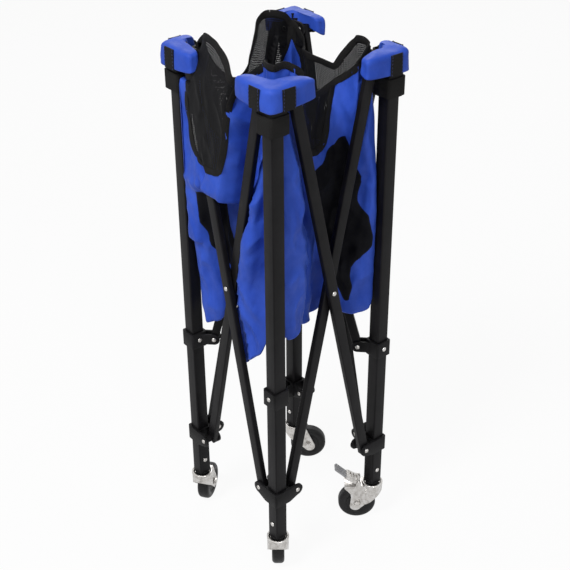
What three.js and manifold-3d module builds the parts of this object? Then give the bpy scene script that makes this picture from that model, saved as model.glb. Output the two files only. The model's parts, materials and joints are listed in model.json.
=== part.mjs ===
// Folding ball cart: four square legs on casters, joined by crossed bars, with a cloth bag between them.
// Millimetres, +Z up. It stands folded, as it is stored. The origin is on the floor under its middle.
import * as THREE from "three";
import { mergeVertices } from "three/addons/utils/BufferGeometryUtils.js";
import Module from "manifold-3d";

const wasm = await Module();
wasm.setup();

// Frame as it stands folded
const LEG_SPACING = 245; // leg axis to leg axis on each of the four sides
const MIDDLE_SHIFT_X = 14; // the casters reach further out on one side, so the legs stand off the middle
const MIDDLE_SHIFT_Y = -19.6;
const FIT_GAP = 0.3; // between faces that touch or slide
const CUT_OVERRUN = 2; // how far a cutter runs past the face it cuts

// Leg tube
const TUBE_SIDE = 25;
const TUBE_WALL = 1.5;
const TUBE_CORNER = 3;
const TUBE_BOTTOM = 92;

// Heights of the pivots
const LOW_PIVOT = 193;
const BAR_PIVOT_SPAN = 803; // between the two end pivots of one crossed bar
const MID_PIVOT = 417;

// Brackets
const BRACKET_WALL = 4;
const BRACKET_CORNER = 4;
const ARM_REACH = 35.2; // from the leg's axis to the pivot in the arm
const EAR_RADIUS = 12;
const EAR_DROP = 7; // how much deeper an arm is at the leg than at its tip
const TOP_PLATE = 5;
const TOP_BOSS = 8; // raised square on the top plate, which the cap lies on
const TOP_BOSS_HALF = 11;
const TOP_SKIRT = 61; // the top bracket's collar below its pivot
const MID_COLLAR_ABOVE = 15;
const MID_COLLAR_BELOW = 17;
const MID_ARM_REACH = 38;
const MID_EAR_RADIUS = 11;
const MID_EAR_WALL = 3.5;
const MID_COLLAR_TAPER = 6;

// Rivets
const RIVET_RADIUS = 3;
const RIVET_HEAD_RADIUS = 5.2;
const RIVET_HEAD_HEIGHT = 2.2;
const SPACER_RADIUS = 6;

// Crossed bars: square-cut steel tube
const BAR_THICKNESS = 11;
const BAR_WIDTH = 20;
const BAR_WALL = 1.2;
const BAR_END = 6; // tube past the pivot
const BAR_SIDE_GAP = 1.4; // between two crossing bars

// Inner bars and the hub that they carry
const INNER_BAR_SPAN = 440;
const INNER_BAR_THICKNESS = 10;
const INNER_BAR_WIDTH = 16;
const INNER_BAR_END = 8;
const INNER_EAR_GAP = 0.6;
const HUB_PIVOT_RADIUS = 24;
const HUB_RADIUS = 42;
const HUB_TOP_PLATE = 5;
const HUB_SLOT_WIDTH = 17;
const HUB_SLOT_HEADROOM = 12; // above the pivot, to the plate
const HUB_DEPTH = 12; // below the pivot

// Casters
const WHEEL_RADIUS = 37.5;
const WHEEL_WIDTH = 24;
const WHEEL_BORE = 4.3;
const TREAD_ROUND = 7;
const WHEEL_DISH = 3;
const WHEEL_HUB_RADIUS = 12;
const TYRE_DEPTH = 13;
const CASTER_TRAIL = 30;
const FORK_TOP = 84;
const FORK_PLATE = 2.3;
const FORK_SIDE_GAP = 0.7;
const CROWN_RADIUS = 20.5;
const CROWN_SHEET = 2.5;
const CROWN_NOSE = 11; // how far the front of the crown comes down
const RACE_HEIGHT = 4;
const RACE_BORE = 16;
const FORK_BACK_X = 24; // end of the top plate on the casters without a brake
const FORK_TAIL_X = 56; // end of the top plate under the brake pedal
const FORK_TAIL_DROP = 6;
const FORK_WAIST_X = 42;
const FORK_WAIST_Z = 64;
const FORK_HEEL_X = 45;
const FORK_HEEL_Z = 33;
const FORK_FOOT_Z = 24;
const FORK_SHIN_X = -3;
const FORK_SHIN_Z = 54;
const AXLE_RADIUS = 4;
const AXLE_HEAD_RADIUS = 6.5;
const AXLE_HEAD = 4;
const KINGPIN_RADIUS = 5;
const KINGPIN_NUT_RADIUS = 8.5;
const KINGPIN_NUT = 6;
const NECK_RADIUS = 14;
const NECK_FOOT_RADIUS = 11.5;
const PLUG_HEIGHT = 60;
const PLUG_RIVET_HEIGHT = 31; // above the tube's end
// Which way each wheel trails, in degrees round from +X: front, right, back, left
const CASTER_HEADINGS = [140.7, 230.8, 50.8, 125.7];

// Brake pedal, on the right-hand caster alone
const PEDAL_PIVOT_X = 28;
const PEDAL_PIVOT_ABOVE = 6.3; // above the fork's top
const PEDAL_LIFT_DEGREES = 14;
const PEDAL_HEEL = 3.6;
const PEDAL_LENGTH = 30;
const PEDAL_HALF_WIDTH = 12;
const PEDAL_BELOW = 4.4;
const PEDAL_ABOVE = 3.6;
const PEDAL_TAB_LENGTH = 32;
const PEDAL_TAB_THICKNESS = 4;
const PEDAL_TAB_DEGREES = 32;
const PEDAL_PIN_RADIUS = 2.5;
const PEDAL_EAR_RADIUS = 5;

// Cloth: corner caps, straps, side panels and the bag's floor
const CAP_CLOTH = 3;
const CAP_ROOM = 4.2; // from a bracket's outer face to the cloth
const CAP_ARM = 86;
const CAP_HEIGHT = 46;
const CAP_CORNER = 13;
const CAP_END_WIDTH = 22;
const CAP_INNER = 20;
const CAP_NECK = 50;
const STRAP_CLOTH = 3;
const STRAP_HEIGHT = 33;
const STRAP_BELOW_PIVOT = 26;
const PANEL_CLOTH = 2.4;
const PANEL_INSET = 27.5; // from the line of the legs to the middle of the panel
const PANEL_STRAP_GAP = 4.4; // from the panel's end to the leg's strap
const PANEL_TURN = 7; // length over which the panel comes out to the bracket
const PANEL_PLEAT = 6;
const PANEL_PLEATS = 4;
const PANEL_SEWN_BELOW = 14; // the sewn edge is this far below the bracket's top
// How high each side's arch rises over the brackets, and where its hem hangs: front to right, right to back,
// back to left, left to front
const ARCH_RISES = [8, 52, 56, 50];
const HEM_HEIGHTS = [520, 525, 545, 455];
const HEM_SWAY = 22;
const HEM_END_RISE = 115; // how much higher the hem hangs at the legs
const FLOOR_CLOTH = 2;
const FLOOR_DROP = 150;
const FLOOR_ROOM = 4; // from the hub's side to the cloth
const FLOOR_TOP_ROOM = 4;

// How finely round shapes are faceted. An arc gets two facets for each of its steps
const ROUND_SIDES = 12;
const SMALL_SIDES = 6;
const WHEEL_SIDES = 20;
const CROWN_STEPS = 5;
const EAR_STEPS = 3;
const CORNER_STEPS = 1;
const CAP_STEPS = 2;
const PANEL_COLUMNS = 20;
const PANEL_ROWS = 1;

// Sizes that follow from those above
const HALF_SPACING = LEG_SPACING / 2;
const TUBE_HALF = TUBE_SIDE / 2;
const BORE_HALF = TUBE_HALF + FIT_GAP;
const COLLAR_HALF = BORE_HALF + BRACKET_WALL;
const FOLD_ANGLE = Math.asin((LEG_SPACING - 2 * ARM_REACH) / BAR_PIVOT_SPAN);
const TOP_PIVOT = LOW_PIVOT + BAR_PIVOT_SPAN * Math.cos(FOLD_ANGLE);
const BRACKET_TOP = TOP_PIVOT + EAR_RADIUS;
const TUBE_TOP = BRACKET_TOP - TOP_PLATE - FIT_GAP;
const BAR_OFFSET = (BAR_THICKNESS + BAR_SIDE_GAP) / 2;
const LEG_DIAGONAL = HALF_SPACING * Math.SQRT2;
const INNER_ANGLE = Math.asin((LEG_DIAGONAL - MID_ARM_REACH - HUB_PIVOT_RADIUS) / INNER_BAR_SPAN);
const HUB_PIVOT = MID_PIVOT + INNER_BAR_SPAN * Math.cos(INNER_ANGLE);
const HUB_TOP = HUB_PIVOT + HUB_SLOT_HEADROOM + HUB_TOP_PLATE;
const FORK_HALF = WHEEL_WIDTH / 2 + FORK_SIDE_GAP;
const FORK_OUTER_HALF = FORK_HALF + FORK_PLATE;
const CAP_TOP = BRACKET_TOP + TOP_BOSS + FIT_GAP + CAP_CLOTH;
const CAP_OUTER = COLLAR_HALF + CAP_ROOM + CAP_CLOTH;
const PANEL_END = HALF_SPACING - COLLAR_HALF - FIT_GAP - STRAP_CLOTH - PANEL_STRAP_GAP; // half its length
const CORNER_NAMES = ["front", "right", "back", "left"];

// Materials
const blackPaint = new THREE.MeshStandardMaterial({ color: "#2a292b", roughness: 0.45, metalness: 0.3 });
const blackPlastic = new THREE.MeshStandardMaterial({ color: "#343335", roughness: 0.55, metalness: 0 });
const zincPlate = new THREE.MeshStandardMaterial({ color: "#bdb9b4", roughness: 0.35, metalness: 0.9 });
const blackRubber = new THREE.MeshStandardMaterial({ color: "#2e2f2f", roughness: 0.7, metalness: 0 });
const greyPlastic = new THREE.MeshStandardMaterial({ color: "#9c9ca0", roughness: 0.5, metalness: 0.1 });
const blueNylon = new THREE.MeshStandardMaterial({ color: "#3f5cc0", roughness: 0.6, metalness: 0 });
const blackWebbing = new THREE.MeshStandardMaterial({ color: "#29292a", roughness: 0.8, metalness: 0 });

// A closed geometry as a solid that can be joined and cut
function solidOf(geometry) {
  const bare = geometry.index ? geometry.toNonIndexed() : geometry.clone();
  bare.deleteAttribute("normal");
  bare.deleteAttribute("uv");
  const merged = mergeVertices(bare);
  const mesh = new wasm.Mesh({
    numProp: 3,
    vertProperties: merged.attributes.position.array,
    triVerts: new Uint32Array(merged.index.array),
  });
  return new wasm.Manifold(mesh);
}

// A solid as a geometry again
function geometryOf(solid) {
  const mesh = solid.getMesh();
  const geometry = new THREE.BufferGeometry();
  geometry.setAttribute("position", new THREE.BufferAttribute(mesh.vertProperties, 3));
  geometry.setIndex(new THREE.BufferAttribute(mesh.triVerts, 1));
  geometry.computeVertexNormals();
  return geometry;
}

function join(...solids) {
  return solids.reduce((whole, next) => whole.add(next));
}

function cut(whole, ...cutters) {
  return cutters.reduce((left, next) => left.subtract(next), whole);
}

function namedMesh(name, solid, material) {
  const mesh = new THREE.Mesh(geometryOf(solid), material);
  mesh.name = name;
  return mesh;
}

// A block between two opposite corners
function block(x0, x1, y0, y1, z0, z1) {
  const geometry = new THREE.BoxGeometry(x1 - x0, y1 - y0, z1 - z0);
  return solidOf(geometry.translate((x0 + x1) / 2, (y0 + y1) / 2, (z0 + z1) / 2));
}

// A round bar from one point along an axis, "x", "y" or "z"
function rod(radius, axis, from, to, centre, sides = ROUND_SIDES) {
  const geometry = new THREE.CylinderGeometry(radius, radius, to - from, sides);
  geometry.translate(0, (from + to) / 2, 0);
  if (axis === "x") geometry.rotateZ(-Math.PI / 2);
  if (axis === "z") geometry.rotateX(Math.PI / 2);
  return solidOf(geometry.translate(...centre));
}

// The cutter for a hole that a small round pin turns in
function pinHole(pinRadius, axis, from, to, centre) {
  const radius = (pinRadius + FIT_GAP) / Math.cos(Math.PI / SMALL_SIDES);
  return rod(radius, axis, from, to, centre, SMALL_SIDES);
}

// A flat outline in X and Y, made into a slab between two heights
function slab(shape, z0, z1, steps) {
  const settings = { depth: z1 - z0, bevelEnabled: false, curveSegments: steps };
  return solidOf(new THREE.ExtrudeGeometry(shape, settings).translate(0, 0, z0));
}

// An outline drawn in the upright plane (X across, Y up), made into a plate between two places along Y
function uprightPlate(shape, y0, y1, steps) {
  const settings = { depth: y1 - y0, bevelEnabled: false, curveSegments: steps };
  const geometry = new THREE.ExtrudeGeometry(shape, settings);
  return solidOf(geometry.rotateX(Math.PI / 2).translate(0, y1, 0));
}

// A profile of [radius, height] pairs turned round the upright axis. It starts and ends on the axis, or is
// closed into a ring
function turned(profile, sides) {
  const ring = profile[0][0] > 0 ? [...profile, profile[0]] : profile;
  const points = ring.map(([radius, height]) => new THREE.Vector2(radius, height));
  return solidOf(new THREE.LatheGeometry(points, sides).rotateX(Math.PI / 2));
}

function squareShape(half, corner) {
  const shape = new THREE.Shape();
  const flat = half - corner;
  shape.moveTo(half, -flat);
  shape.lineTo(half, flat);
  shape.absarc(flat, flat, corner, 0, Math.PI / 2);
  shape.lineTo(-flat, half);
  shape.absarc(-flat, flat, corner, Math.PI / 2, Math.PI);
  shape.lineTo(-half, -flat);
  shape.absarc(-flat, -flat, corner, Math.PI, (3 * Math.PI) / 2);
  shape.lineTo(flat, -half);
  shape.absarc(flat, -flat, corner, (3 * Math.PI) / 2, 2 * Math.PI);
  return shape;
}

function outline(points) {
  return new THREE.Shape(points.map(([x, y]) => new THREE.Vector2(x, y)));
}

// A rivet along "x" or "y" through a centre, its heads lying on two faces
function rivet(axis, lowFace, highFace, centre) {
  const buried = RIVET_HEAD_HEIGHT / 2;
  return join(
    rod(RIVET_RADIUS, axis, lowFace - buried, highFace + buried, centre, SMALL_SIDES),
    rod(RIVET_HEAD_RADIUS, axis, lowFace - RIVET_HEAD_HEIGHT, lowFace, centre, SMALL_SIDES),
    rod(RIVET_HEAD_RADIUS, axis, highFace, highFace + RIVET_HEAD_HEIGHT, centre, SMALL_SIDES),
  );
}

// The leg's tube, in the frame of its corner: the leg's axis is upright at the origin, the two sides of the
// cart run towards -X and +Y
function legTube() {
  const outer = slab(squareShape(TUBE_HALF, TUBE_CORNER), TUBE_BOTTOM, TUBE_TOP, CORNER_STEPS);
  const innerCorner = TUBE_CORNER - TUBE_WALL;
  const hollow = squareShape(TUBE_HALF - TUBE_WALL, innerCorner);
  const inner = slab(hollow, TUBE_BOTTOM - CUT_OVERRUN, TUBE_TOP + CUT_OVERRUN, CORNER_STEPS);
  const holes = [TUBE_BOTTOM + PLUG_RIVET_HEIGHT, MID_PIVOT].map((height) =>
    pinHole(RIVET_RADIUS, "y", -TUBE_SIDE, TUBE_SIDE, [0, 0, height]),
  );
  return cut(outer, inner, ...holes);
}

// The side view of an arm's ear: X runs from the leg's axis to the tip, Y is the height from the pivot
function earShape(reach, radius, drop) {
  const shape = new THREE.Shape();
  shape.moveTo(0, -radius - drop);
  shape.lineTo(COLLAR_HALF, -radius - drop);
  shape.lineTo(reach, -radius);
  shape.absarc(reach, 0, radius, -Math.PI / 2, Math.PI / 2);
  shape.lineTo(0, radius);
  return shape;
}

// Two ears along +X with a pin hole through both
function clevis(reach, radius, drop, innerHalf, wall) {
  const shape = earShape(reach, radius, drop);
  const near = uprightPlate(shape, -innerHalf - wall, -innerHalf, EAR_STEPS);
  const far = uprightPlate(shape, innerHalf, innerHalf + wall, EAR_STEPS);
  const outside = innerHalf + wall + CUT_OVERRUN;
  const hole = pinHole(RIVET_RADIUS, "y", -outside, outside, [reach, 0, 0]);
  return [cut(near, hole), cut(far, hole)];
}

// The arms towards both neighbours, at the height of their pivot
function twoArms(height, drop) {
  const ears = clevis(ARM_REACH, EAR_RADIUS, drop, BORE_HALF, BRACKET_WALL);
  return [90, 180].flatMap((turn) => ears.map((ear) => ear.rotate([0, 0, turn]).translate([0, 0, height])));
}

function collar(bottom, top) {
  return slab(squareShape(COLLAR_HALF, BRACKET_CORNER), bottom, top, CORNER_STEPS);
}

function tubeBore(bottom, top) {
  return block(-BORE_HALF, BORE_HALF, -BORE_HALF, BORE_HALF, bottom, top);
}

function topBracket() {
  const bottom = TOP_PIVOT - TOP_SKIRT;
  const half = TOP_BOSS_HALF;
  const boss = block(-half, half, -half, half, BRACKET_TOP - TOP_PLATE / 2, BRACKET_TOP + TOP_BOSS);
  const body = join(collar(bottom, BRACKET_TOP), boss, ...twoArms(TOP_PIVOT, EAR_DROP));
  return cut(body, tubeBore(bottom - CUT_OVERRUN, BRACKET_TOP - TOP_PLATE));
}

function sliderBracket() {
  const bottom = LOW_PIVOT - EAR_RADIUS - EAR_DROP;
  const top = LOW_PIVOT + EAR_RADIUS;
  const body = join(collar(bottom, top), ...twoArms(LOW_PIVOT, EAR_DROP));
  return cut(body, tubeBore(bottom - CUT_OVERRUN, top + CUT_OVERRUN));
}

// The collar narrows towards its bottom edge
function taperedCollar(bottom, taper, top) {
  const wide = COLLAR_HALF * Math.SQRT2;
  const narrow = (COLLAR_HALF - BRACKET_WALL / 2) * Math.SQRT2;
  const geometry = new THREE.CylinderGeometry(wide, narrow, taper, 4);
  geometry.rotateY(Math.PI / 4).rotateX(Math.PI / 2);
  const skirt = solidOf(geometry.translate(0, 0, bottom + taper / 2));
  const trim = slab(squareShape(COLLAR_HALF, BRACKET_CORNER), bottom, bottom + taper, CORNER_STEPS);
  return join(collar(bottom + taper, top), skirt.intersect(trim));
}

// The fixed bracket half way up, with one clevis that points at the middle of the cart
function midBracket() {
  const bottom = MID_PIVOT - MID_COLLAR_BELOW;
  const top = MID_PIVOT + MID_COLLAR_ABOVE;
  const innerHalf = INNER_BAR_THICKNESS / 2 + INNER_EAR_GAP;
  const ears = clevis(MID_ARM_REACH, MID_EAR_RADIUS, 0, innerHalf, MID_EAR_WALL).map((ear) =>
    ear.rotate([0, 0, 135]).translate([0, 0, MID_PIVOT]),
  );
  const body = join(taperedCollar(bottom, MID_COLLAR_TAPER, top), ...ears);
  const bored = cut(body, tubeBore(bottom - CUT_OVERRUN, top + CUT_OVERRUN));
  return join(bored, rivet("y", -COLLAR_HALF, COLLAR_HALF, [0, 0, MID_PIVOT]));
}

// A straight tube along +Z from a pivot at the origin, open at both ends
function straightBar(span, thickness, width, end) {
  const halfT = thickness / 2;
  const halfW = width / 2;
  const outer = block(-halfT, halfT, -halfW, halfW, -end, span + end);
  const innerT = halfT - BAR_WALL;
  const innerW = halfW - BAR_WALL;
  const inner = block(-innerT, innerT, -innerW, innerW, -end - CUT_OVERRUN, span + end + CUT_OVERRUN);
  return cut(outer, inner);
}

// A rivet across a clevis, with the spacer that fills the side the bar leaves free. side says which way the
// bar lies from the clevis's middle
function endRivet(height, side) {
  const middle = -side * BAR_OFFSET;
  const reach = COLLAR_HALF + FIT_GAP;
  const at = [0, 0, height];
  const spacerFar = middle - side * (BORE_HALF - FIT_GAP);
  const spacerNear = (side * (BAR_WALL - BAR_THICKNESS)) / 2;
  const low = Math.min(spacerFar, spacerNear);
  const high = Math.max(spacerFar, spacerNear);
  const spacer = rod(SPACER_RADIUS, "x", low, high, at, SMALL_SIDES);
  return join(rivet("x", middle - reach, middle + reach, at), spacer);
}

// The outer of two crossing bars carries the rivet that joins them
function outerBar() {
  const tube = straightBar(BAR_PIVOT_SPAN, BAR_THICKNESS, BAR_WIDTH, BAR_END);
  const middle = [0, 0, BAR_PIVOT_SPAN / 2];
  const face = BAR_THICKNESS / 2;
  const washerEnd = -face - BAR_SIDE_GAP + FIT_GAP;
  const farFace = -face - BAR_SIDE_GAP - BAR_THICKNESS - FIT_GAP;
  return join(
    tube,
    endRivet(0, 1),
    endRivet(BAR_PIVOT_SPAN, 1),
    rivet("x", farFace, face, middle),
    rod(SPACER_RADIUS, "x", washerEnd, (BAR_WALL - BAR_THICKNESS) / 2, middle, SMALL_SIDES),
  );
}

function innerCrossBar() {
  const tube = straightBar(BAR_PIVOT_SPAN, BAR_THICKNESS, BAR_WIDTH, BAR_END);
  const middle = [0, 0, BAR_PIVOT_SPAN / 2];
  const hole = pinHole(RIVET_RADIUS, "x", -BAR_THICKNESS, BAR_THICKNESS, middle);
  return join(cut(tube, hole), endRivet(0, -1), endRivet(BAR_PIVOT_SPAN, -1));
}

// A bar from a mid bracket up to the hub, along +Z, with its lower rivet across the bracket's ears
function hubBar() {
  const tube = straightBar(INNER_BAR_SPAN, INNER_BAR_THICKNESS, INNER_BAR_WIDTH, INNER_BAR_END);
  const face = INNER_BAR_THICKNESS / 2 + INNER_EAR_GAP + MID_EAR_WALL + FIT_GAP;
  return join(tube, rivet("x", -face, face, [0, 0, 0]));
}

// The hub bar that the hub is hinged on also holds the hub's pin
function hubBarWithPin() {
  const half = HUB_SLOT_WIDTH / 2 - FIT_GAP;
  const pin = rod(RIVET_RADIUS, "x", -half, half, [0, 0, INNER_BAR_SPAN], SMALL_SIDES);
  return join(hubBar(), pin);
}

// The hub: an eight-sided block with four slots, open outwards and downwards, one for each bar
function hub() {
  const bottom = HUB_PIVOT - HUB_DEPTH;
  const ceiling = HUB_PIVOT + HUB_SLOT_HEADROOM;
  const body = rod(HUB_RADIUS, "z", bottom, HUB_TOP, [0, 0, 0], 8);
  const reach = HUB_RADIUS + CUT_OVERRUN;
  const half = HUB_SLOT_WIDTH / 2;
  const slot = block(-reach, reach, -half, half, bottom - CUT_OVERRUN, ceiling);
  const turns = [45, 135];
  const rivets = turns.flatMap((turn) =>
    [-1, 1].map((end) =>
      rod(RIVET_HEAD_RADIUS, "z", HUB_TOP, HUB_TOP + FLOOR_TOP_ROOM / 2, [0, 0, 0], ROUND_SIDES / 2)
        .translate([end * HUB_PIVOT_RADIUS, 0, 0])
        .rotate([0, 0, turn]),
    ),
  );
  const slots = turns.map((turn) => slot.rotate([0, 0, turn]));
  return join(cut(body, ...slots), ...rivets);
}

// The plug in the tube's foot, with the neck and the pin that the fork turns on
function casterPlug() {
  const half = TUBE_HALF - TUBE_WALL - FIT_GAP;
  const shoulder = TUBE_BOTTOM - FIT_GAP;
  const neckFoot = FORK_TOP + FIT_GAP;
  const insertFoot = (neckFoot + shoulder) / 2;
  const insert = slab(squareShape(half, TUBE_WALL), insertFoot, TUBE_BOTTOM + PLUG_HEIGHT, CORNER_STEPS);
  const neck = turned(
    [
      [0, neckFoot],
      [NECK_FOOT_RADIUS, neckFoot],
      [NECK_RADIUS, (neckFoot + shoulder) / 2],
      [NECK_RADIUS, shoulder],
      [0, shoulder],
    ],
    ROUND_SIDES,
  );
  const underCrown = FORK_TOP - CROWN_SHEET - FIT_GAP;
  const nutFoot = underCrown - KINGPIN_NUT;
  const pin = rod(KINGPIN_RADIUS, "z", nutFoot + KINGPIN_NUT / 2, insertFoot, [0, 0, 0], SMALL_SIDES);
  const nut = rod(KINGPIN_NUT_RADIUS, "z", nutFoot, underCrown, [0, 0, 0], 6);
  const rivetAt = [0, 0, TUBE_BOTTOM + PLUG_RIVET_HEIGHT];
  const face = TUBE_HALF + FIT_GAP;
  return join(insert, neck, pin, nut, rivet("y", -face, face, rivetAt));
}

// The plan of the fork: a round crown that runs back into two straight cheeks
function forkPlan(half, radius, tail) {
  const shape = new THREE.Shape();
  const angle = Math.asin(half / radius);
  shape.moveTo(tail, -half);
  shape.lineTo(tail, half);
  shape.absarc(0, 0, radius, angle, 2 * Math.PI - angle);
  return shape;
}

// The side view of the fork, with X along the trail. Only the fork with the brake runs back over the wheel
function forkSide(hasBrake) {
  const noseFoot = FORK_TOP - CROWN_NOSE;
  const waist = hasBrake ? [[FORK_WAIST_X, FORK_WAIST_Z]] : [];
  const tail = hasBrake ? FORK_TAIL_X : FORK_BACK_X;
  return outline([
    [-CROWN_RADIUS - CUT_OVERRUN, noseFoot],
    [FORK_SHIN_X, FORK_SHIN_Z],
    [CASTER_TRAIL, FORK_FOOT_Z],
    [FORK_HEEL_X, FORK_HEEL_Z],
    ...waist,
    [tail, FORK_TOP - FORK_TAIL_DROP],
    [tail, FORK_TOP],
    [-CROWN_RADIUS - CUT_OVERRUN, FORK_TOP],
  ]);
}

// The fork, pressed from sheet: open behind and below, with the axle's holes and the race on top
function casterFork(hasBrake) {
  const plan = forkPlan(FORK_OUTER_HALF, CROWN_RADIUS, FORK_TAIL_X);
  const blank = slab(plan, 0, FORK_TOP, CROWN_STEPS);
  const side = uprightPlate(forkSide(hasBrake), -CROWN_RADIUS, CROWN_RADIUS, 1);
  const ceiling = FORK_TOP - CROWN_SHEET;
  const hollowPlan = forkPlan(FORK_HALF, CROWN_RADIUS - CROWN_SHEET, FORK_TAIL_X + CUT_OVERRUN);
  const hollow = slab(hollowPlan, -CUT_OVERRUN, ceiling, CROWN_STEPS);
  const race = turned(
    [
      [RACE_BORE, FORK_TOP - CROWN_SHEET / 2],
      [CROWN_RADIUS, FORK_TOP - CROWN_SHEET / 2],
      [CROWN_RADIUS, FORK_TOP + RACE_HEIGHT / 2],
      [(CROWN_RADIUS + RACE_BORE) / 2, FORK_TOP + RACE_HEIGHT],
    ],
    ROUND_SIDES,
  );
  const reach = FORK_OUTER_HALF + CUT_OVERRUN;
  const axleAt = [CASTER_TRAIL, 0, WHEEL_RADIUS];
  const axleHole = pinHole(AXLE_RADIUS, "y", -reach, reach, axleAt);
  const crownHole = pinHole(KINGPIN_RADIUS, "z", ceiling - CUT_OVERRUN, FORK_TOP + CUT_OVERRUN, [0, 0, 0]);
  return join(cut(blank.intersect(side), hollow, axleHole, crownHole), race);
}

// The fork with the brake has two ears on its crown that hold the pedal's pin
function brakeFork() {
  const height = FORK_TOP + PEDAL_PIVOT_ABOVE;
  const inner = PEDAL_HALF_WIDTH + FIT_GAP;
  const outer = FORK_OUTER_HALF;
  const at = [PEDAL_PIVOT_X, 0, height];
  const ears = [
    [-outer, -inner],
    [inner, outer],
  ].map(([y0, y1]) => {
    const foot = block(
      PEDAL_PIVOT_X - PEDAL_EAR_RADIUS,
      PEDAL_PIVOT_X + PEDAL_EAR_RADIUS,
      y0,
      y1,
      FORK_TOP - CROWN_SHEET,
      height,
    );
    const head = rod(PEDAL_EAR_RADIUS, "y", y0, y1, at, SMALL_SIDES);
    const hole = pinHole(PEDAL_PIN_RADIUS, "y", y0 - CUT_OVERRUN, y1 + CUT_OVERRUN, at);
    return cut(join(foot, head), hole);
  });
  return join(casterFork(true), ...ears);
}

function brakePedal() {
  const side = outline([
    [-PEDAL_HEEL, -PEDAL_BELOW],
    [PEDAL_LENGTH, -PEDAL_BELOW],
    [PEDAL_LENGTH, 0],
    [PEDAL_LENGTH - PEDAL_ABOVE, PEDAL_ABOVE],
    [-PEDAL_HEEL, PEDAL_ABOVE],
  ]);
  const body = uprightPlate(side, -PEDAL_HALF_WIDTH, PEDAL_HALF_WIDTH, 1);
  const tabHalf = PEDAL_HALF_WIDTH - PEDAL_TAB_THICKNESS / 2;
  const tab = block(0, PEDAL_TAB_LENGTH, -tabHalf, tabHalf, -PEDAL_TAB_THICKNESS, 0)
    .rotate([0, -PEDAL_TAB_DEGREES, 0])
    .translate([PEDAL_LENGTH - PEDAL_TAB_THICKNESS, 0, PEDAL_TAB_THICKNESS / 2]);
  const reach = FORK_OUTER_HALF + FIT_GAP;
  const pin = rod(PEDAL_PIN_RADIUS, "y", -reach, reach, [0, 0, 0], SMALL_SIDES);
  return join(body, tab, pin);
}

// A rubber wheel with a rounded tread and dished sides, its axis along Y. One facet lies flat on the floor
function casterWheel() {
  const half = WHEEL_WIDTH / 2;
  const web = half - WHEEL_DISH;
  const rim = WHEEL_RADIUS - TYRE_DEPTH;
  const tread = WHEEL_RADIUS / Math.cos(Math.PI / WHEEL_SIDES);
  const shoulder = tread - TREAD_ROUND;
  const softened = TREAD_ROUND * Math.SQRT1_2;
  const profile = [
    [WHEEL_BORE, -half],
    [WHEEL_HUB_RADIUS, -half],
    [rim - WHEEL_DISH, -web],
    [rim, -half],
    [shoulder, -half],
    [shoulder + softened, -half + TREAD_ROUND - softened],
    [tread, -half + TREAD_ROUND],
  ];
  const mirrored = profile.map(([radius, across]) => [radius, -across]).reverse();
  return turned([...profile, ...mirrored], WHEEL_SIDES).rotate([90, 180 / WHEEL_SIDES, 0]);
}

function casterAxle() {
  const face = FORK_OUTER_HALF + FIT_GAP;
  const at = [0, 0, 0];
  return join(
    rod(AXLE_RADIUS, "y", -face - AXLE_HEAD / 2, face + AXLE_HEAD / 2, at, SMALL_SIDES),
    rod(AXLE_HEAD_RADIUS, "y", -face - AXLE_HEAD, -face, at, 6),
    rod(AXLE_HEAD_RADIUS, "y", face, face + AXLE_HEAD, at, 6),
  );
}

// The cloth cap over a leg's top: a flat top with a skirt on the two outer sides, open inwards and below
function cornerCap() {
  const out = CAP_OUTER;
  const shape = new THREE.Shape();
  shape.moveTo(-CAP_ARM, -out);
  shape.lineTo(out - CAP_CORNER, -out);
  shape.absarc(out - CAP_CORNER, CAP_CORNER - out, CAP_CORNER, -Math.PI / 2, 0);
  shape.lineTo(out, CAP_ARM);
  shape.lineTo(out - CAP_END_WIDTH, CAP_ARM);
  shape.lineTo(-CAP_INNER, CAP_NECK);
  shape.lineTo(-CAP_INNER, CAP_INNER);
  shape.lineTo(-CAP_NECK, CAP_INNER);
  shape.lineTo(-CAP_ARM, CAP_END_WIDTH - out);
  const cloth = slab(shape, CAP_TOP - CAP_HEIGHT, CAP_TOP, CAP_STEPS);
  const inside = out - CAP_CLOTH;
  const corner = CAP_CORNER - CAP_CLOTH;
  const far = CAP_ARM + CUT_OVERRUN;
  const room = new THREE.Shape();
  room.moveTo(-far, -inside);
  room.lineTo(inside - corner, -inside);
  room.absarc(inside - corner, corner - inside, corner, -Math.PI / 2, 0);
  room.lineTo(inside, far);
  room.lineTo(-far, far);
  const hollow = slab(room, CAP_TOP - CAP_HEIGHT - CUT_OVERRUN, CAP_TOP - CAP_CLOTH, CAP_STEPS);
  return cut(cloth, hollow);
}

// The strap that holds the bag to the leg, round the top bracket's collar
function legStrap() {
  const top = TOP_PIVOT - STRAP_BELOW_PIVOT;
  const inner = COLLAR_HALF + FIT_GAP;
  const band = slab(squareShape(inner + STRAP_CLOTH, BRACKET_CORNER), top - STRAP_HEIGHT, top, CORNER_STEPS);
  const bore = squareShape(inner, BRACKET_CORNER);
  return cut(band, slab(bore, top - STRAP_HEIGHT - CUT_OVERRUN, top + CUT_OVERRUN, CORNER_STEPS));
}

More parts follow.
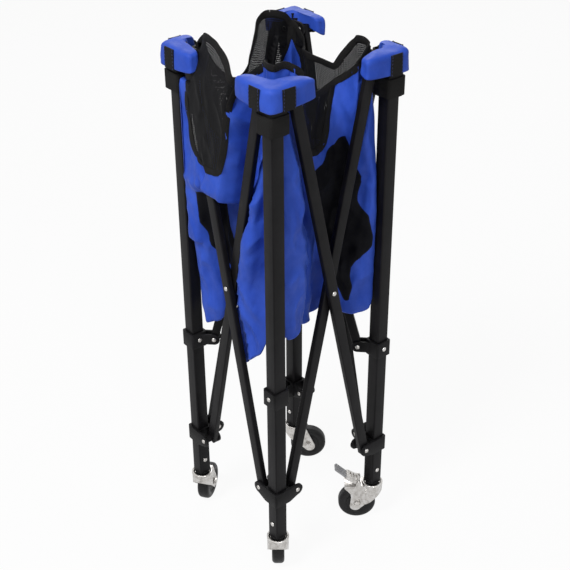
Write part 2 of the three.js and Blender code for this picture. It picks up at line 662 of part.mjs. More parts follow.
// A closed sheet of even thickness. placeAt gives the middle of the cloth, and the way across it, for shares
// along and up the sheet
function clothSheet(columns, rows, thickness, placeAt) {
  const points = [];
  const faces = [];
  const stride = rows + 1;
  const sheet = (columns + 1) * stride;
  for (const side of [-1, 1]) {
    for (let i = 0; i <= columns; i++) {
      for (let j = 0; j <= rows; j++) {
        const { place, across } = placeAt(i / columns, j / rows);
        points.push(...place.addScaledVector(across, (side * thickness) / 2).toArray());
      }
    }
  }
  const quad = (a, b, c, d) => faces.push(a, b, c, a, c, d);
  for (let i = 0; i < columns; i++) {
    for (let j = 0; j < rows; j++) {
      const a = i * stride + j;
      const b = a + stride;
      quad(a, a + 1, b + 1, b);
      quad(sheet + a, sheet + b, sheet + b + 1, sheet + a + 1);
    }
    const low = i * stride;
    const high = low + rows;
    quad(low, low + stride, sheet + low + stride, sheet + low);
    quad(high, sheet + high, sheet + high + stride, high + stride);
  }
  for (let j = 0; j < rows; j++) {
    const near = j;
    const far = columns * stride + j;
    quad(near, sheet + near, sheet + near + 1, near + 1);
    quad(far, far + 1, sheet + far + 1, sheet + far);
  }
  const geometry = new THREE.BufferGeometry();
  geometry.setAttribute("position", new THREE.Float32BufferAttribute(points, 3));
  geometry.setIndex(faces);
  return solidOf(geometry);
}

// One side of the bag, gathered in upright pleats between two legs. Its ends are sewn at the brackets, its
// top is an arch of net, and its hem hangs free. X points out of the cart, Y from the first leg to the second
function sidePanel(archRise, hemHeight) {
  const sewn = HALF_SPACING - COLLAR_HALF - FIT_GAP - PANEL_CLOTH / 2;
  const middle = HALF_SPACING - PANEL_INSET;
  const edge = BRACKET_TOP - PANEL_SEWN_BELOW;
  return clothSheet(PANEL_COLUMNS, PANEL_ROWS, PANEL_CLOTH, (along, up) => {
    const y = PANEL_END * (2 * along - 1);
    const fromEnd = Math.min(1, (PANEL_END - Math.abs(y)) / PANEL_TURN);
    const turn = fromEnd * fromEnd * (3 - 2 * fromEnd);
    const phase = 2 * Math.PI * PANEL_PLEATS * along;
    const x = sewn + (middle - sewn + PANEL_PLEAT * Math.sin(phase)) * turn;
    const slopeShare = (2 * Math.PI * PANEL_PLEATS * PANEL_PLEAT) / (2 * PANEL_END);
    const slope = slopeShare * Math.cos(phase) * turn;
    const bow = Math.sin(Math.PI * along);
    const top = edge + (archRise + PANEL_SEWN_BELOW) * Math.sqrt(bow);
    const endRise = HEM_END_RISE * (y / PANEL_END) ** 2;
    const hem = hemHeight + endRise + HEM_SWAY * Math.cos(phase / 2);
    const across = new THREE.Vector3(1, -slope, 0).normalize();
    return { place: new THREE.Vector3(x, y, hem + (top - hem) * up), across };
  });
}

// The bag's floor, lifted by the hub into a four-sided tent over the inner bars
function bagFloor() {
  const top = HUB_TOP + FLOOR_TOP_ROOM / 2 + FIT_GAP + FLOOR_CLOTH;
  const bottom = top - FLOOR_DROP;
  const spread = FLOOR_DROP * Math.tan(INNER_ANGLE);
  const crown = (HUB_RADIUS + FLOOR_ROOM) * Math.SQRT2;
  const tent = (inset, low, high) => {
    const geometry = new THREE.CylinderGeometry(crown - inset, crown + spread - inset, high - low, 4);
    return solidOf(geometry.rotateX(Math.PI / 2).rotateZ(Math.PI / 4).translate(0, 0, (low + high) / 2));
  };
  const shift = FLOOR_CLOTH * Math.SQRT2;
  const inner = tent(shift, bottom - FLOOR_CLOTH, top - FLOOR_CLOTH);
  return cut(tent(0, bottom, top), inner);
}

// Everything that stands at one corner. The group's frame has its origin on the leg's axis at the floor
function cornerGroup(index) {
  const name = CORNER_NAMES[index];
  const turn = (index * Math.PI) / 2;
  const place = new THREE.Group();
  place.rotation.z = turn;
  const corner = new THREE.Group();
  corner.position.set(HALF_SPACING, -HALF_SPACING, 0);
  place.add(corner);
  corner.add(
    namedMesh(`${name}_leg_tube`, legTube(), blackPaint),
    namedMesh(`${name}_top_bracket`, topBracket(), blackPlastic),
    namedMesh(`${name}_mid_bracket`, midBracket(), blackPlastic),
    namedMesh(`${name}_slider_bracket`, sliderBracket(), blackPlastic),
    namedMesh(`${name}_caster_plug`, casterPlug(), blackPlastic),
    namedMesh(`${name}_corner_cap`, cornerCap(), blueNylon),
    namedMesh(`${name}_leg_strap`, legStrap(), blackWebbing),
  );
  const heading = THREE.MathUtils.degToRad(CASTER_HEADINGS[index]) - turn;
  corner.add(casterGroup(name, heading, name === "right"));
  corner.add(hubBarMesh(name));
  return place;
}

function hubBarMesh(name) {
  const solid = name === "front" ? hubBarWithPin() : hubBar();
  const bar = namedMesh(`${name}_hub_bar`, solid, blackPaint);
  const lean = new THREE.Group();
  bar.rotation.x = -INNER_ANGLE;
  lean.add(bar);
  lean.rotation.z = Math.PI / 4;
  const along = MID_ARM_REACH * Math.SQRT1_2;
  lean.position.set(-along, along, MID_PIVOT);
  return lean;
}

function casterGroup(name, heading, hasBrake) {
  const caster = new THREE.Group();
  caster.rotation.z = heading;
  caster.add(namedMesh(`${name}_caster_fork`, hasBrake ? brakeFork() : casterFork(false), zincPlate));
  const wheel = namedMesh(`${name}_caster_wheel`, casterWheel(), blackRubber);
  const axle = namedMesh(`${name}_caster_axle`, casterAxle(), zincPlate);
  for (const piece of [wheel, axle]) {
    piece.position.set(CASTER_TRAIL, 0, WHEEL_RADIUS);
    caster.add(piece);
  }
  if (hasBrake) {
    const pedal = namedMesh("brake_pedal", brakePedal(), greyPlastic);
    pedal.position.set(PEDAL_PIVOT_X, 0, FORK_TOP + PEDAL_PIVOT_ABOVE);
    pedal.rotation.y = -THREE.MathUtils.degToRad(PEDAL_LIFT_DEGREES);
    caster.add(pedal);
  }
  return caster;
}

// The two crossed bars and the cloth between one leg and the next
function sideGroup(index) {
  const first = CORNER_NAMES[index];
  const second = CORNER_NAMES[(index + 1) % CORNER_NAMES.length];
  const side = new THREE.Group();
  side.rotation.z = (index * Math.PI) / 2;
  const reach = HALF_SPACING - ARM_REACH;
  const outer = namedMesh(`${first}_to_${second}_bar`, outerBar(), blackPaint);
  outer.position.set(HALF_SPACING + BAR_OFFSET, reach, LOW_PIVOT);
  outer.rotation.x = FOLD_ANGLE;
  const inner = namedMesh(`${second}_to_${first}_bar`, innerCrossBar(), blackPaint);
  inner.position.set(HALF_SPACING - BAR_OFFSET, -reach, LOW_PIVOT);
  inner.rotation.x = -FOLD_ANGLE;
  const cloth = sidePanel(ARCH_RISES[index], HEM_HEIGHTS[index]);
  const panel = namedMesh(`${first}_${second}_bag_side`, cloth, blueNylon);
  side.add(outer, inner, panel);
  return side;
}

const standing = new THREE.Group();
standing.position.set(MIDDLE_SHIFT_X, MIDDLE_SHIFT_Y, 0);
for (let index = 0; index < CORNER_NAMES.length; index++) {
  standing.add(cornerGroup(index), sideGroup(index));
}
standing.add(namedMesh("hub", hub(), blackPlastic));
standing.add(namedMesh("bag_floor", bagFloor(), blueNylon));

const cart = new THREE.Group();
cart.add(standing);

export default cart;
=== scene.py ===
# Ball cart, folded for storage: the finish of its frame and casters, and the cloth bag that hangs in it.
# It is laid out as a Blender add-on and run as a script.
import json
import math
from typing import NamedTuple

import bmesh
import bpy
import numpy as np
from bpy.props import FloatProperty, IntProperty, PointerProperty, StringProperty
from mathutils import Matrix, Vector, noise

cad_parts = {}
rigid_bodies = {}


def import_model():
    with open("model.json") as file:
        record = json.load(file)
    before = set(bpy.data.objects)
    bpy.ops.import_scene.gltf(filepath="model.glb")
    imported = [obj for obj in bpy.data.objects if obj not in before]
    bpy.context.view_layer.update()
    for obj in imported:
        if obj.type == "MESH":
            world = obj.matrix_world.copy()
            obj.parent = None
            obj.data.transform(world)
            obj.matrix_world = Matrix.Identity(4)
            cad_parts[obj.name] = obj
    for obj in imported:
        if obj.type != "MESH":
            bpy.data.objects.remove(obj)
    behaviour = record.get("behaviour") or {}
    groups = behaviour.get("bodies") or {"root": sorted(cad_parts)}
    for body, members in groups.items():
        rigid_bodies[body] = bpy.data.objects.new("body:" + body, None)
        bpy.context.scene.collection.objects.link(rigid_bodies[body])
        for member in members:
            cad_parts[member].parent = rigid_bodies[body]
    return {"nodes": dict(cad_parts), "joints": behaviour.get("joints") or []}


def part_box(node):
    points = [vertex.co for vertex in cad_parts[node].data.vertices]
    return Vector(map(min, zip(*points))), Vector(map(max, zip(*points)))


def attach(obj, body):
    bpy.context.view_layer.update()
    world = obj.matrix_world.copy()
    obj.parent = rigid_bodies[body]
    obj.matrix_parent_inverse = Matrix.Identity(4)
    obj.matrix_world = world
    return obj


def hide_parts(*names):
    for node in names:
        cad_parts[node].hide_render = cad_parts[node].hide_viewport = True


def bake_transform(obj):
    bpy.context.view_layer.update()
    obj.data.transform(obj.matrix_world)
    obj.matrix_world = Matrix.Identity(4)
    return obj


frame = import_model()

bl_info = {
    "name": "Ball cart",
    "version": (1, 0, 0),
    "blender": (4, 5, 0),
    "location": "3D View > Sidebar > Ball cart",
    "description": "Builds the folding ball cart's frame, casters and cloth bag around its fixed frame",
    "category": "Object",
}

MM = 0.001
CORNERS = ("front", "right", "back", "left")

# Heights and places that the frame gives, in millimetres
JOINTS = {joint["name"]: joint for joint in frame["joints"]}
PIVOT_PLACE = JOINTS["fold"]["pos_m"]
LEG_BOXES = [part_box(f"{corner}_leg_tube") for corner in CORNERS]
LEG_AXES = [(low + high) / 2 for low, high in LEG_BOXES]
MIDDLE = (LEG_AXES[0] + LEG_AXES[2]) / 2
LEG_SPACING = (LEG_AXES[1].y - LEG_AXES[0].y) / MM
HALF_SPACING = LEG_SPACING / 2
TOP_PIVOT = PIVOT_PLACE[2] / MM
LOW_PIVOT = JOINTS["front_slider_pivot"]["pos_m"][2] / MM
MID_PIVOT = JOINTS["front_hub_bar_pivot"]["pos_m"][2] / MM
HUB_PIVOT = JOINTS["hub_pivot"]["pos_m"][2] / MM
ARM_REACH = PIVOT_PLACE[1] / MM - LEG_AXES[0].y / MM
TUBE_BOTTOM = LEG_BOXES[0][0].z / MM
TUBE_TOP = LEG_BOXES[0][1].z / MM
CAP_LOW, CAP_HIGH = (corner.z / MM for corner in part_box("front_corner_cap"))
FOLD_ANGLE = math.atan2(LEG_SPACING - 2 * ARM_REACH, TOP_PIVOT - LOW_PIVOT)
BAR_SPAN = (TOP_PIVOT - LOW_PIVOT) / math.cos(FOLD_ANGLE)

# Brackets and rivets
BORE_HALF = 12.8
BORE_CORNER = 2.5
COLLAR_HALF = 16.8
BRACKET_CORNER = 4
EAR_RADIUS = 12
EAR_DROP = 7
EAR_WALL = 4
TOP_PLATE = 5
TOP_SKIRT = 61
TOP_BOSS = 8
TOP_BOSS_HALF = 11
TOP_BOSS_CORNER = 3
MID_ARM_REACH = 38
MID_EAR_RADIUS = 11
MID_EAR_WALL = 3.5
MID_EAR_HALF_GAP = 5.6
MID_ABOVE = 15
MID_BELOW = 17
PLUG_RIVET_ABOVE = 31
FIT_GAP = 0.3
CUT_PAST = 3

# Bars
BAR_THICKNESS = 11
BAR_WIDTH = 20
BAR_WALL = 1.2
BAR_CORNER = 2
BAR_END = 6
BAR_SIDE_GAP = 1.4
BAR_OFFSET = (BAR_THICKNESS + BAR_SIDE_GAP) / 2
BUSH_RADIUS = 6
HUB_BAR_SPAN = 440
HUB_BAR_THICKNESS = 10
HUB_BAR_WIDTH = 16
HUB_BAR_END = 8
HUB_PIVOT_RADIUS = 24
LEG_DIAGONAL = HALF_SPACING * math.sqrt(2)
HUB_BAR_LEAN = math.asin((LEG_DIAGONAL - MID_ARM_REACH - HUB_PIVOT_RADIUS) / HUB_BAR_SPAN)

# Casters
WHEEL_RADIUS = 37.5
WHEEL_HALF = 12
TREAD_ROUND = 7
CASTER_TRAIL = 30
FORK_TOP = 84
FORK_SHEET = 2.3
FORK_HALF = WHEEL_HALF + 0.7
FORK_OUTER_HALF = FORK_HALF + FORK_SHEET
CROWN_RADIUS = 20.5
CROWN_NOSE = 11
FORK_TAIL = 56
FORK_BACK = 24
TAIL_SPARE = 22
RACE_BORE = 15
RACE_HEIGHT = 5
NECK_RADIUS = 14
AXLE_HEAD = 4
AXLE_HEAD_RADIUS = 6.5
PEDAL_PIVOT_X = 28
PEDAL_PIVOT_ABOVE = 6.3
PEDAL_LIFT = math.radians(14)
PEDAL_HALF_WIDTH = 12
PEDAL_RAMP = math.radians(16)
PEDAL_PIN_RADIUS = 2.5
TAB_HINGE = (26, 0, 1)
BRAKE_CORNER = "right"
LUG_RADIUS = 5
AXLE_RADIUS = 4
PIN_RADIUS = 5
PIN_NUT_RADIUS = 8.5
PLUG_HALF = 10.6
PLUG_CORNER = 1.5
PLUG_DEPTH = 60
WHEEL_ROUND = 0.25
TURNED_ROUND = 0.4
FINE_ROUND = 0.5

# Outlines and profiles of the turned, pressed and moulded parts, as places in mm
FORK_FOOT = (CASTER_TRAIL + 3, 33.5, 11.5)
FORK_NOSE = (-3, 54)
FORK_WAIST = ((42.5, 56), (43.5, 64), (50, 72), (FORK_TAIL, 78))
RACE_TOP = FORK_TOP + RACE_HEIGHT
RACE_PROFILE = (
    (RACE_BORE, FORK_TOP - 1),
    (CROWN_RADIUS + 0.6, FORK_TOP - 1),
    (CROWN_RADIUS + 0.6, RACE_TOP - 1.6),
    (CROWN_RADIUS - 0.4, RACE_TOP - 0.4),
    (CROWN_RADIUS - 2, RACE_TOP),
    (RACE_BORE + 1.5, RACE_TOP - 1.4),
    (RACE_BORE, FORK_TOP + 1),
)
WHEEL_PROFILE = (
    (4.3, WHEEL_HALF),
    (10.5, WHEEL_HALF),
    (12, WHEEL_HALF - 0.8),
    (13, WHEEL_HALF - 2.6),
    (21, WHEEL_HALF - 3),
    (23.4, WHEEL_HALF - 1.2),
    (25, WHEEL_HALF - 0.2),
    (29, WHEEL_HALF),
)
AXLE_FACE = FORK_OUTER_HALF + FIT_GAP
WASHER_THICKNESS = 0.9
WASHER_RADIUS = AXLE_HEAD_RADIUS + 1.2
NECK_FOOT = FORK_TOP + FIT_GAP
NECK_TOP = TUBE_BOTTOM - FIT_GAP
NECK_PROFILE = (
    (0, NECK_FOOT),
    (11, NECK_FOOT),
    (13.4, NECK_FOOT + 1),
    (NECK_RADIUS, NECK_FOOT + 3),
    (NECK_RADIUS + 0.4, NECK_FOOT + 5),
    (NECK_RADIUS, NECK_TOP - 0.8),
    (NECK_RADIUS - 1, NECK_TOP),
    (0, NECK_TOP),
)
PIN_LOW = FORK_TOP - 9
PIN_NUT_SPAN = (FORK_TOP - 8.8, FORK_TOP - 2.8)
PEDAL_SIDE = ((-3.6, -4.4), (30, -4.4), (30, 0), (27.5, 3.2), (25, 3.6), (0, 3.6), (-3, 2), (-3.6, 0))
# Half lengths, half widths and corners of the slots, the tab and its ridges, and where slots and ridges lie
PEDAL_SLOT = (2, 8, 1.9)
PEDAL_SLOT_SPAN = (1, 6)
PEDAL_SLOTS = (6, 13, 20)
TAB_PLATE = (16, 10, 3.2)
TAB_THICKNESS = 4
TAB_RIDGE = (0.8, 8, 0.7)
TAB_RIDGES = (14, 17.6, 21.2, 24.8, 28.4)
TAB_TILT = math.radians(-12)

# Meshes are merged and edited within these distances, in mm, and shaded smooth below these angles, in degrees
MERGE_WITHIN = 1e-4
NARROW_WITHIN = 1e-5
FLAT_WITHIN = math.radians(2)
BEVEL_ANGLE = 32
SMOOTH_ANGLE = 34
CLOTH_SMOOTH_ANGLE = 50


def hex_colour(text):
    """An sRGB hex colour as the linear values that shaders use."""
    channels = [int(text[start : start + 2], 16) / 255 for start in (1, 3, 5)]
    linear = [c / 12.92 if c <= 0.04045 else ((c + 0.055) / 1.055) ** 2.4 for c in channels]
    return (*linear, 1.0)


def length(name, description, size):
    """A property that holds a length, which is given here in mm."""
    return FloatProperty(name=name, description=description, default=size * MM, unit="LENGTH")


def colour(name, description, value):
    return StringProperty(name=name, description=description, default=value)


class CartSizes(bpy.types.PropertyGroup):
    """Sizes that change how the cart's pieces look, but not where they are."""

    tube_side: length("Leg tube", "Width of the square leg tube", 25)
    tube_corner: length("Tube corner", "Radius along the leg tube's edges", 2.6)
    tube_wall: length("Tube wall", "Thickness of the leg tube's steel", 1.5)
    rivet_radius: length("Rivet head", "Radius of a rivet's domed head", 4.6)
    rivet_height: length("Rivet height", "How far a rivet's head stands out", 2.3)
    edge_round: length("Moulded edge", "Rounding along the brackets' edges", 0.9)
    net_pitch: length("Net pitch", "From one hole of the net to the next", 3.2)
    stitch_length: length("Stitch", "Length of one stitch in the seams", 3.4)
    wrinkle_seed: IntProperty(name="Wrinkle seed", description="Which set of small wrinkles", default=7)


class CartColours(bpy.types.PropertyGroup):
    """Colours of the cart's materials, as sRGB hex values."""

    nylon: colour("Nylon", "Blue bag cloth", "#2E55CE")
    powder_coat: colour("Powder coat", "Black steel tube", "#0F0E10")
    plastic: colour("Moulded plastic", "Black brackets", "#100F11")
    zinc: colour("Zinc plate", "Caster forks and rivets", "#C4C1BD")
    rubber: colour("Rubber", "Wheels", "#0D0D0E")
    webbing: colour("Webbing", "Straps and bindings", "#111010")
    net: colour("Net", "Black netting", "#07070A")
    # Black of the patches on two bag sides: lining with painted shade on one side, painted shade alone on the
    # other
    lining: colour("Lining", "Black lining of the bag", "#08080C")
    tab: colour("Pedal tab", "Grey tab of the brake", "#B2B2B5")
    thread: colour("Thread", "Stitches of the caps", "#1B2450")


# Places


def standing_place(axis, turn):
    """From a frame in mm that stands on an axis, turned round it by radians, to the cart's frame."""
    return Matrix.Translation((axis.x, axis.y, 0)) @ Matrix.Rotation(turn, 4, "Z") @ Matrix.Scale(MM, 4)


def corner_place(index):
    """From a corner's own frame: the leg's axis at the origin, its sides to -X and +Y."""
    return standing_place(LEG_AXES[index], index * math.pi / 2)


def side_place(index):
    """From a side's own frame: X points out, Y from its first leg to its second."""
    return standing_place(MIDDLE, index * math.pi / 2)


def caster_place(index):
    """From a caster's own frame: the swivel's axis at the origin, X along the trail."""
    low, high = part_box(f"{CORNERS[index]}_caster_wheel")
    away = (low + high) / 2 - LEG_AXES[index]
    return standing_place(LEG_AXES[index], math.atan2(away.y, away.x))


def hub_bar_place(index):
    """From an inner bar's own frame: its low pivot at the origin, Z along the bar."""
    along = MID_ARM_REACH / math.sqrt(2)
    foot = Matrix.Translation((-along, along, MID_PIVOT))
    lean = Matrix.Rotation(math.pi / 4, 4, "Z") @ Matrix.Rotation(-HUB_BAR_LEAN, 4, "X")
    return corner_place(index) @ foot @ lean


def bar_places(index):
    """From the own frames of a side's outer and inner bar: the low pivot at the origin, Z along the bar."""
    places = []
    for way in (1, -1):
        low_pivot = (HALF_SPACING + way * BAR_OFFSET, way * (HALF_SPACING - ARM_REACH), LOW_PIVOT)
        lean = Matrix.Rotation(way * FOLD_ANGLE, 4, "X")
        places.append(side_place(index) @ Matrix.Translation(low_pivot) @ lean)
    return places


def side_names(index):
    return CORNERS[index], CORNERS[(index + 1) % len(CORNERS)]


def bar_names(index):
    """A side's outer bar, then its inner one."""
    first, second = side_names(index)
    return f"{first}_to_{second}_bar", f"{second}_to_{first}_bar"


# Meshes


def keep(obj):
    bpy.context.scene.collection.objects.link(obj)
    return obj


def mesh_object(name, vertices, faces):
    """A new object from points in mm and faces."""
    mesh = bpy.data.meshes.new(name)
    mesh.from_pydata(vertices, [], faces)
    mesh.update()
    return keep(bpy.data.objects.new(name, mesh))


def finished(obj):
    """The object with its modifiers turned into a plain mesh."""
    graph = bpy.context.evaluated_depsgraph_get()
    mesh = bpy.data.meshes.new_from_object(obj.evaluated_get(graph))
    obj.modifiers.clear()
    obj.data = mesh
    return obj


def moved(obj, *place):
    """The object moved by a matrix, or along X, Y and Z."""
    obj.data.transform(place[0] if len(place) == 1 else Matrix.Translation(place))
    return obj


def drop(*templates):
    for template in templates:
        bpy.data.objects.remove(template)


def band_faces(count, rings, closed=False):
    """Faces between rings of points that follow each other, and from the last to the first if closed."""
    faces = []
    for ring in range(rings if closed else rings - 1):
        here = ring * count
        after = (ring + 1) % rings * count
        for i in range(count):
            j = (i + 1) % count
            faces.append((here + i, here + j, after + j, after + i))
    return faces


def prism(outline, low, high, axis="Z"):
    """A closed slab of an outline between two heights. On axis Y the outline is a side view, X and height."""
    count = len(outline)
    turned = {
        "X": lambda a, b, level: (level, a, b),
        "Y": lambda a, b, level: (a, -level, b),
        "Z": lambda a, b, level: (a, b, level),
    }[axis]
    points = [turned(a, b, level) for level in (low, high) for a, b in outline]
    ends = [tuple(reversed(range(count))), tuple(range(count, 2 * count))]
    return mesh_object("prism", points, ends + band_faces(count, 2))


def arc(centre_x, centre_y, radius, start, end, steps):
    """Points of an arc, angles in degrees."""
    angles = [math.radians(start + (end - start) * step / steps) for step in range(steps + 1)]
    return [(centre_x + radius * math.cos(a), centre_y + radius * math.sin(a)) for a in angles]


def rounded_box(half_x, half_y, corner, steps=6):
    """The outline of a box with rounded corners."""
    outline = []
    for quarter, (sx, sy) in enumerate([(1, 1), (-1, 1), (-1, -1), (1, -1)]):
        middle = (sx * (half_x - corner), sy * (half_y - corner))
        outline += arc(*middle, corner, 90 * quarter, 90 * quarter + 90, steps)
    return outline


def rod(radius, low, high, centre=(0, 0), axis="Z", sides=40):
    return prism(arc(*centre, radius, 0, 360 - 360 / sides, sides - 1), low, high, axis)


def tube(half_x, half_y, corner, wall, low, high):
    """A rounded box tube along Z, open at both ends, its cut edges closed."""
    outer = rounded_box(half_x, half_y, corner)
    inner = rounded_box(half_x - wall, half_y - wall, max(corner - wall, wall / 4))
    rings = [(outer, low), (outer, high), (inner, high), (inner, low)]
    points = [(x, y, z) for ring, z in rings for x, y in ring]
    return mesh_object("tube", points, band_faces(len(outer), len(rings), True))


def steel_tube(*sizes):
    """A tube that is ready to be placed, from the sizes of a tube."""
    made = tube(*sizes)
    edit_shell(made, merge_points)
    shade(made)
    return made


def lathe(profile, sides, axis="Z"):
    """A profile of radius and height pairs turned round an axis. One that starts off the axis is closed."""
    points = []
    for radius, height in profile:
        for side in range(sides):
            angle = 2 * math.pi * side / sides
            x, y = radius * math.cos(angle), radius * math.sin(angle)
            points.append((x, y, height) if axis == "Z" else (x, height, y))
    obj = mesh_object("lathe", points, band_faces(sides, len(profile), profile[0][0] > 0))
    edit_shell(obj, merge_points)
    return obj


def edit_shell(obj, edit):
    """Changes an object's mesh by a function of its bmesh."""
    shell = bmesh.new()
    shell.from_mesh(obj.data)
    edit(shell)
    shell.to_mesh(obj.data)
    shell.free()


def turn_out(shell):
    bmesh.ops.recalc_face_normals(shell, faces=shell.faces)


def merge_points(shell):
    """Merges doubles, takes out faces without an area and turns the rest outwards."""
    bmesh.ops.remove_doubles(shell, verts=shell.verts, dist=MERGE_WITHIN)
    bmesh.ops.dissolve_degenerate(shell, edges=shell.edges, dist=NARROW_WITHIN)
    turn_out(shell)


def merge_flat_faces(shell):
    bmesh.ops.dissolve_limit(shell, angle_limit=FLAT_WITHIN, verts=shell.verts, edges=shell.edges)


def combine(operation, base, *others):
    """Joins or cuts closed shapes with an exact boolean, and removes the shapes used."""
    for shape in (base, *others):
        edit_shell(shape, merge_points)
    for other in others:
        modifier = base.modifiers.new("combine", "BOOLEAN")
        modifier.operation = operation
        modifier.solver = "EXACT"
        modifier.object = other
    finished(base)
    drop(*others)
    return base


def soften(obj, width, segments=2):
    """Rounds the edges of a shape in mm and shades it smooth between them."""
    edit_shell(obj, merge_points)
    modifier = obj.modifiers.new("edges", "BEVEL")
    modifier.width = width
    modifier.segments = segments
    modifier.limit_method = "ANGLE"
    modifier.angle_limit = math.radians(BEVEL_ANGLE)
    modifier.use_clamp_overlap = True
    finished(obj)
    shade(obj)
    return obj


def shade(obj, angle=SMOOTH_ANGLE):
    obj.data.shade_smooth()
    obj.data.set_sharp_from_angle(angle=math.radians(angle))


def dress(piece, finish, nodes=()):
    """Gives a piece its material and slot, and hides the CAD nodes that it stands for."""
    piece.data.materials.clear()
    piece.data.materials.append(material_of(finish))
    if nodes:
        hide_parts(*nodes)


def place_piece(template, name, place, body, finish, *nodes):
    """A copy of a template in mm, put in its place, that rides on a body and stands for CAD nodes."""
    mesh = template.data.copy()
    mesh.transform(place)
    mesh.name = name
    piece = keep(bpy.data.objects.new(name, mesh))
    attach(piece, body)
    dress(piece, finish, nodes)
    return piece


def place_four(template, name, place_of, body, finish, node):
    """A template's copies at the four corners, all named after their corner. The template goes."""
    for index, corner in enumerate(CORNERS):
        names = [f"{corner}_{part}" for part in (name, body, node)]
        place_piece(template, names[0], place_of(index), names[1], finish, names[2])
    drop(template)


# Materials


class Look(NamedTuple):
    """A material of one colour, which a noise makes darker and lighter, smoother and rougher.

    A noise has the size of its grains in mm, its detail, its roughness and its stretch. tones are places on
    it, each with a share towards white or black, or a colour. bump is how strong and how deep, in mm, the
    grain stands out, which is a second noise or a weave with its pitch in mm.
    """

    name: str
    colour: str
    patches: tuple
    tones: tuple
    roughness: tuple
    bump: tuple
    grain: tuple = ()
    weave: float = 0
    specular: float = 0.5
    metallic: float = 0


LOOKS = {
    # Glass-filled nylon from a spark-eroded mould: matt black, finely pitted, greyer where hands rub it
    "plastic": Look(
        "moulded_nylon_bracket", "plastic", (26, 4.0), ((0.32, -0.1), (0.7, 0.07)), (0.46, 0.6), (0.3, 0.2),
        grain=(0.9, 3.0, 0.7), specular=0.12,
    ),
    # Bright zinc on pressed steel: cloudy silver with a faint warm and blue bloom, and rolling marks
    "zinc": Look(
        "zinc_plated_steel", "zinc", (9, 5.0, 0.65), ((0.3, -0.2), (0.5, 0), (0.7, "#D3D2D2")), (0.42, 0.24),
        (0.12, 0.15), grain=(1.2, 3.0, 0.5, (0.25, 1, 1)), metallic=1,
    ),
    # Cured rubber tyre: near black with a slight sheen on the tread, dustier in its hollows
    "rubber": Look(
        "moulded_rubber", "rubber", (14, 6.0, 0.7), ((0.35, -0.15), (0.7, 0.1)), (0.34, 0.6), (0.2, 0.15),
        grain=(0.8, 2.0), specular=0.25,
    ),
    # Knotless polyester net: dull black yarn, with a little light on its raised loops
    "net": Look(
        "knitted_net", "net", (1.5, 3.0), ((0.3, -0.2), (0.75, 0.12)), (0.5, 0.75), (0.4, 0.4), specular=0.1
    ),
    # Polypropylene webbing, woven in ribs about 2 mm apart: flat black with a dry, slightly brown bloom
    "webbing": Look(
        "woven_webbing", "webbing", (1.1, 4.0), ((0.3, -0.15), (0.7, 0.1)), (0.68, 0.85), (0.5, 0.5), weave=2,
        specular=0.12,
    ),
    # ABS from a polished mould: a light grey with a soft gloss and a few fine scratches
    "tab": Look(
        "moulded_grey_plastic", "tab", (3, 5.0, 0.7, (1, 0.1, 1)), ((0.3, -0.08), (0.7, 0.06)), (0.35, 0.5),
        (0.1, 0.1),
    ),
    # Bonded polyester thread: dark and slightly glossy, twisted too finely to show
    "thread": Look(
        "sewing_thread", "thread", (0.6, 2.0), ((0.3, 0), (0.7, "#2C3970")), (0.45, 0.45), (0, 0.1)
    ),
}


def add(tree, kind, values=None, links=None, **settings):
    """Adds a node with its settings, its sockets' constants and the sockets that others feed."""
    made = tree.nodes.new(kind)
    for key, value in settings.items():
        setattr(made, key, value)
    for key, value in (values or {}).items():
        made.inputs[key].default_value = value
    for key, source in (links or {}).items():
        tree.links.new(source, made.inputs[key])
    return made


def empty_tree(owner):
    """The empty node tree of a material or world."""
    owner.use_nodes = True
    owner.node_tree.nodes.clear()
    return owner.node_tree


def surface_material(name, links, values):
    """A material from a function that gives its shader's links for a tree, and from its constant values."""
    material = bpy.data.materials.new(name)
    tree = empty_tree(material)
    shader = add(tree, "ShaderNodeBsdfPrincipled", values, links(tree))
    add(tree, "ShaderNodeOutputMaterial", None, {"Surface": shader.outputs["BSDF"]})
    return material


def coordinates(tree, scale, kind="Object", stretch=(1, 1, 1)):
    source = add(tree, "ShaderNodeTexCoord")
    sizes = tuple(scale * share for share in stretch)
    mapping = add(tree, "ShaderNodeMapping", {"Scale": sizes}, {"Vector": source.outputs[kind]})
    return mapping.outputs["Vector"]


def grains(tree, size, detail, roughness=0.5, stretch=(1, 1, 1), kind="Object"):
    """A noise with grains of a size in mm."""
    vector = coordinates(tree, 1 / (size * MM), kind, stretch)
    values = {"Scale": 1.0, "Detail": detail, "Roughness": roughness}
    return add(tree, "ShaderNodeTexNoise", values, {"Vector": vector}).outputs["Fac"]


def ramp(tree, factor, base, stops):
    """A colour ramp of places, each with a colour or a share that moves the base towards white or black."""
    made = add(tree, "ShaderNodeValToRGB", None, {"Fac": factor})
    elements = made.color_ramp.elements
    while len(elements) < len(stops):
        elements.new(0.5)
    for element, (place, tone) in zip(elements, stops):
        element.position = place
        element.color = hex_colour(tone if isinstance(tone, str) else lighter(base, tone))
    return made.outputs["Color"]


def spread(tree, factor, low, high):
    """A factor from 0 to 1 brought between two values."""
    values = {"From Min": 0.3, "From Max": 0.7, "To Min": low, "To Max": high}
    return add(tree, "ShaderNodeMapRange", values, {"Value": factor}).outputs["Result"]


def bump(tree, height, strength, depth, **links):
    """The normal of a surface whose height stands out by a depth in mm."""
    values = {"Strength": strength, "Distance": depth * MM}
    return add(tree, "ShaderNodeBump", values, {"Height": height, **links}).outputs["Normal"]


def blend_colours(tree, factor, one, other, **settings):
    """Two colours mixed by a factor, which is a number or another node's output."""
    mixed = add(tree, "ShaderNodeMix", None, None, data_type="RGBA", **settings)
    for socket, source in (("Factor", factor), ("A", one), ("B", other)):
        if isinstance(source, float):
            mixed.inputs[socket].default_value = source
        else:
            tree.links.new(source, mixed.inputs[socket])
    return mixed.outputs["Result"]


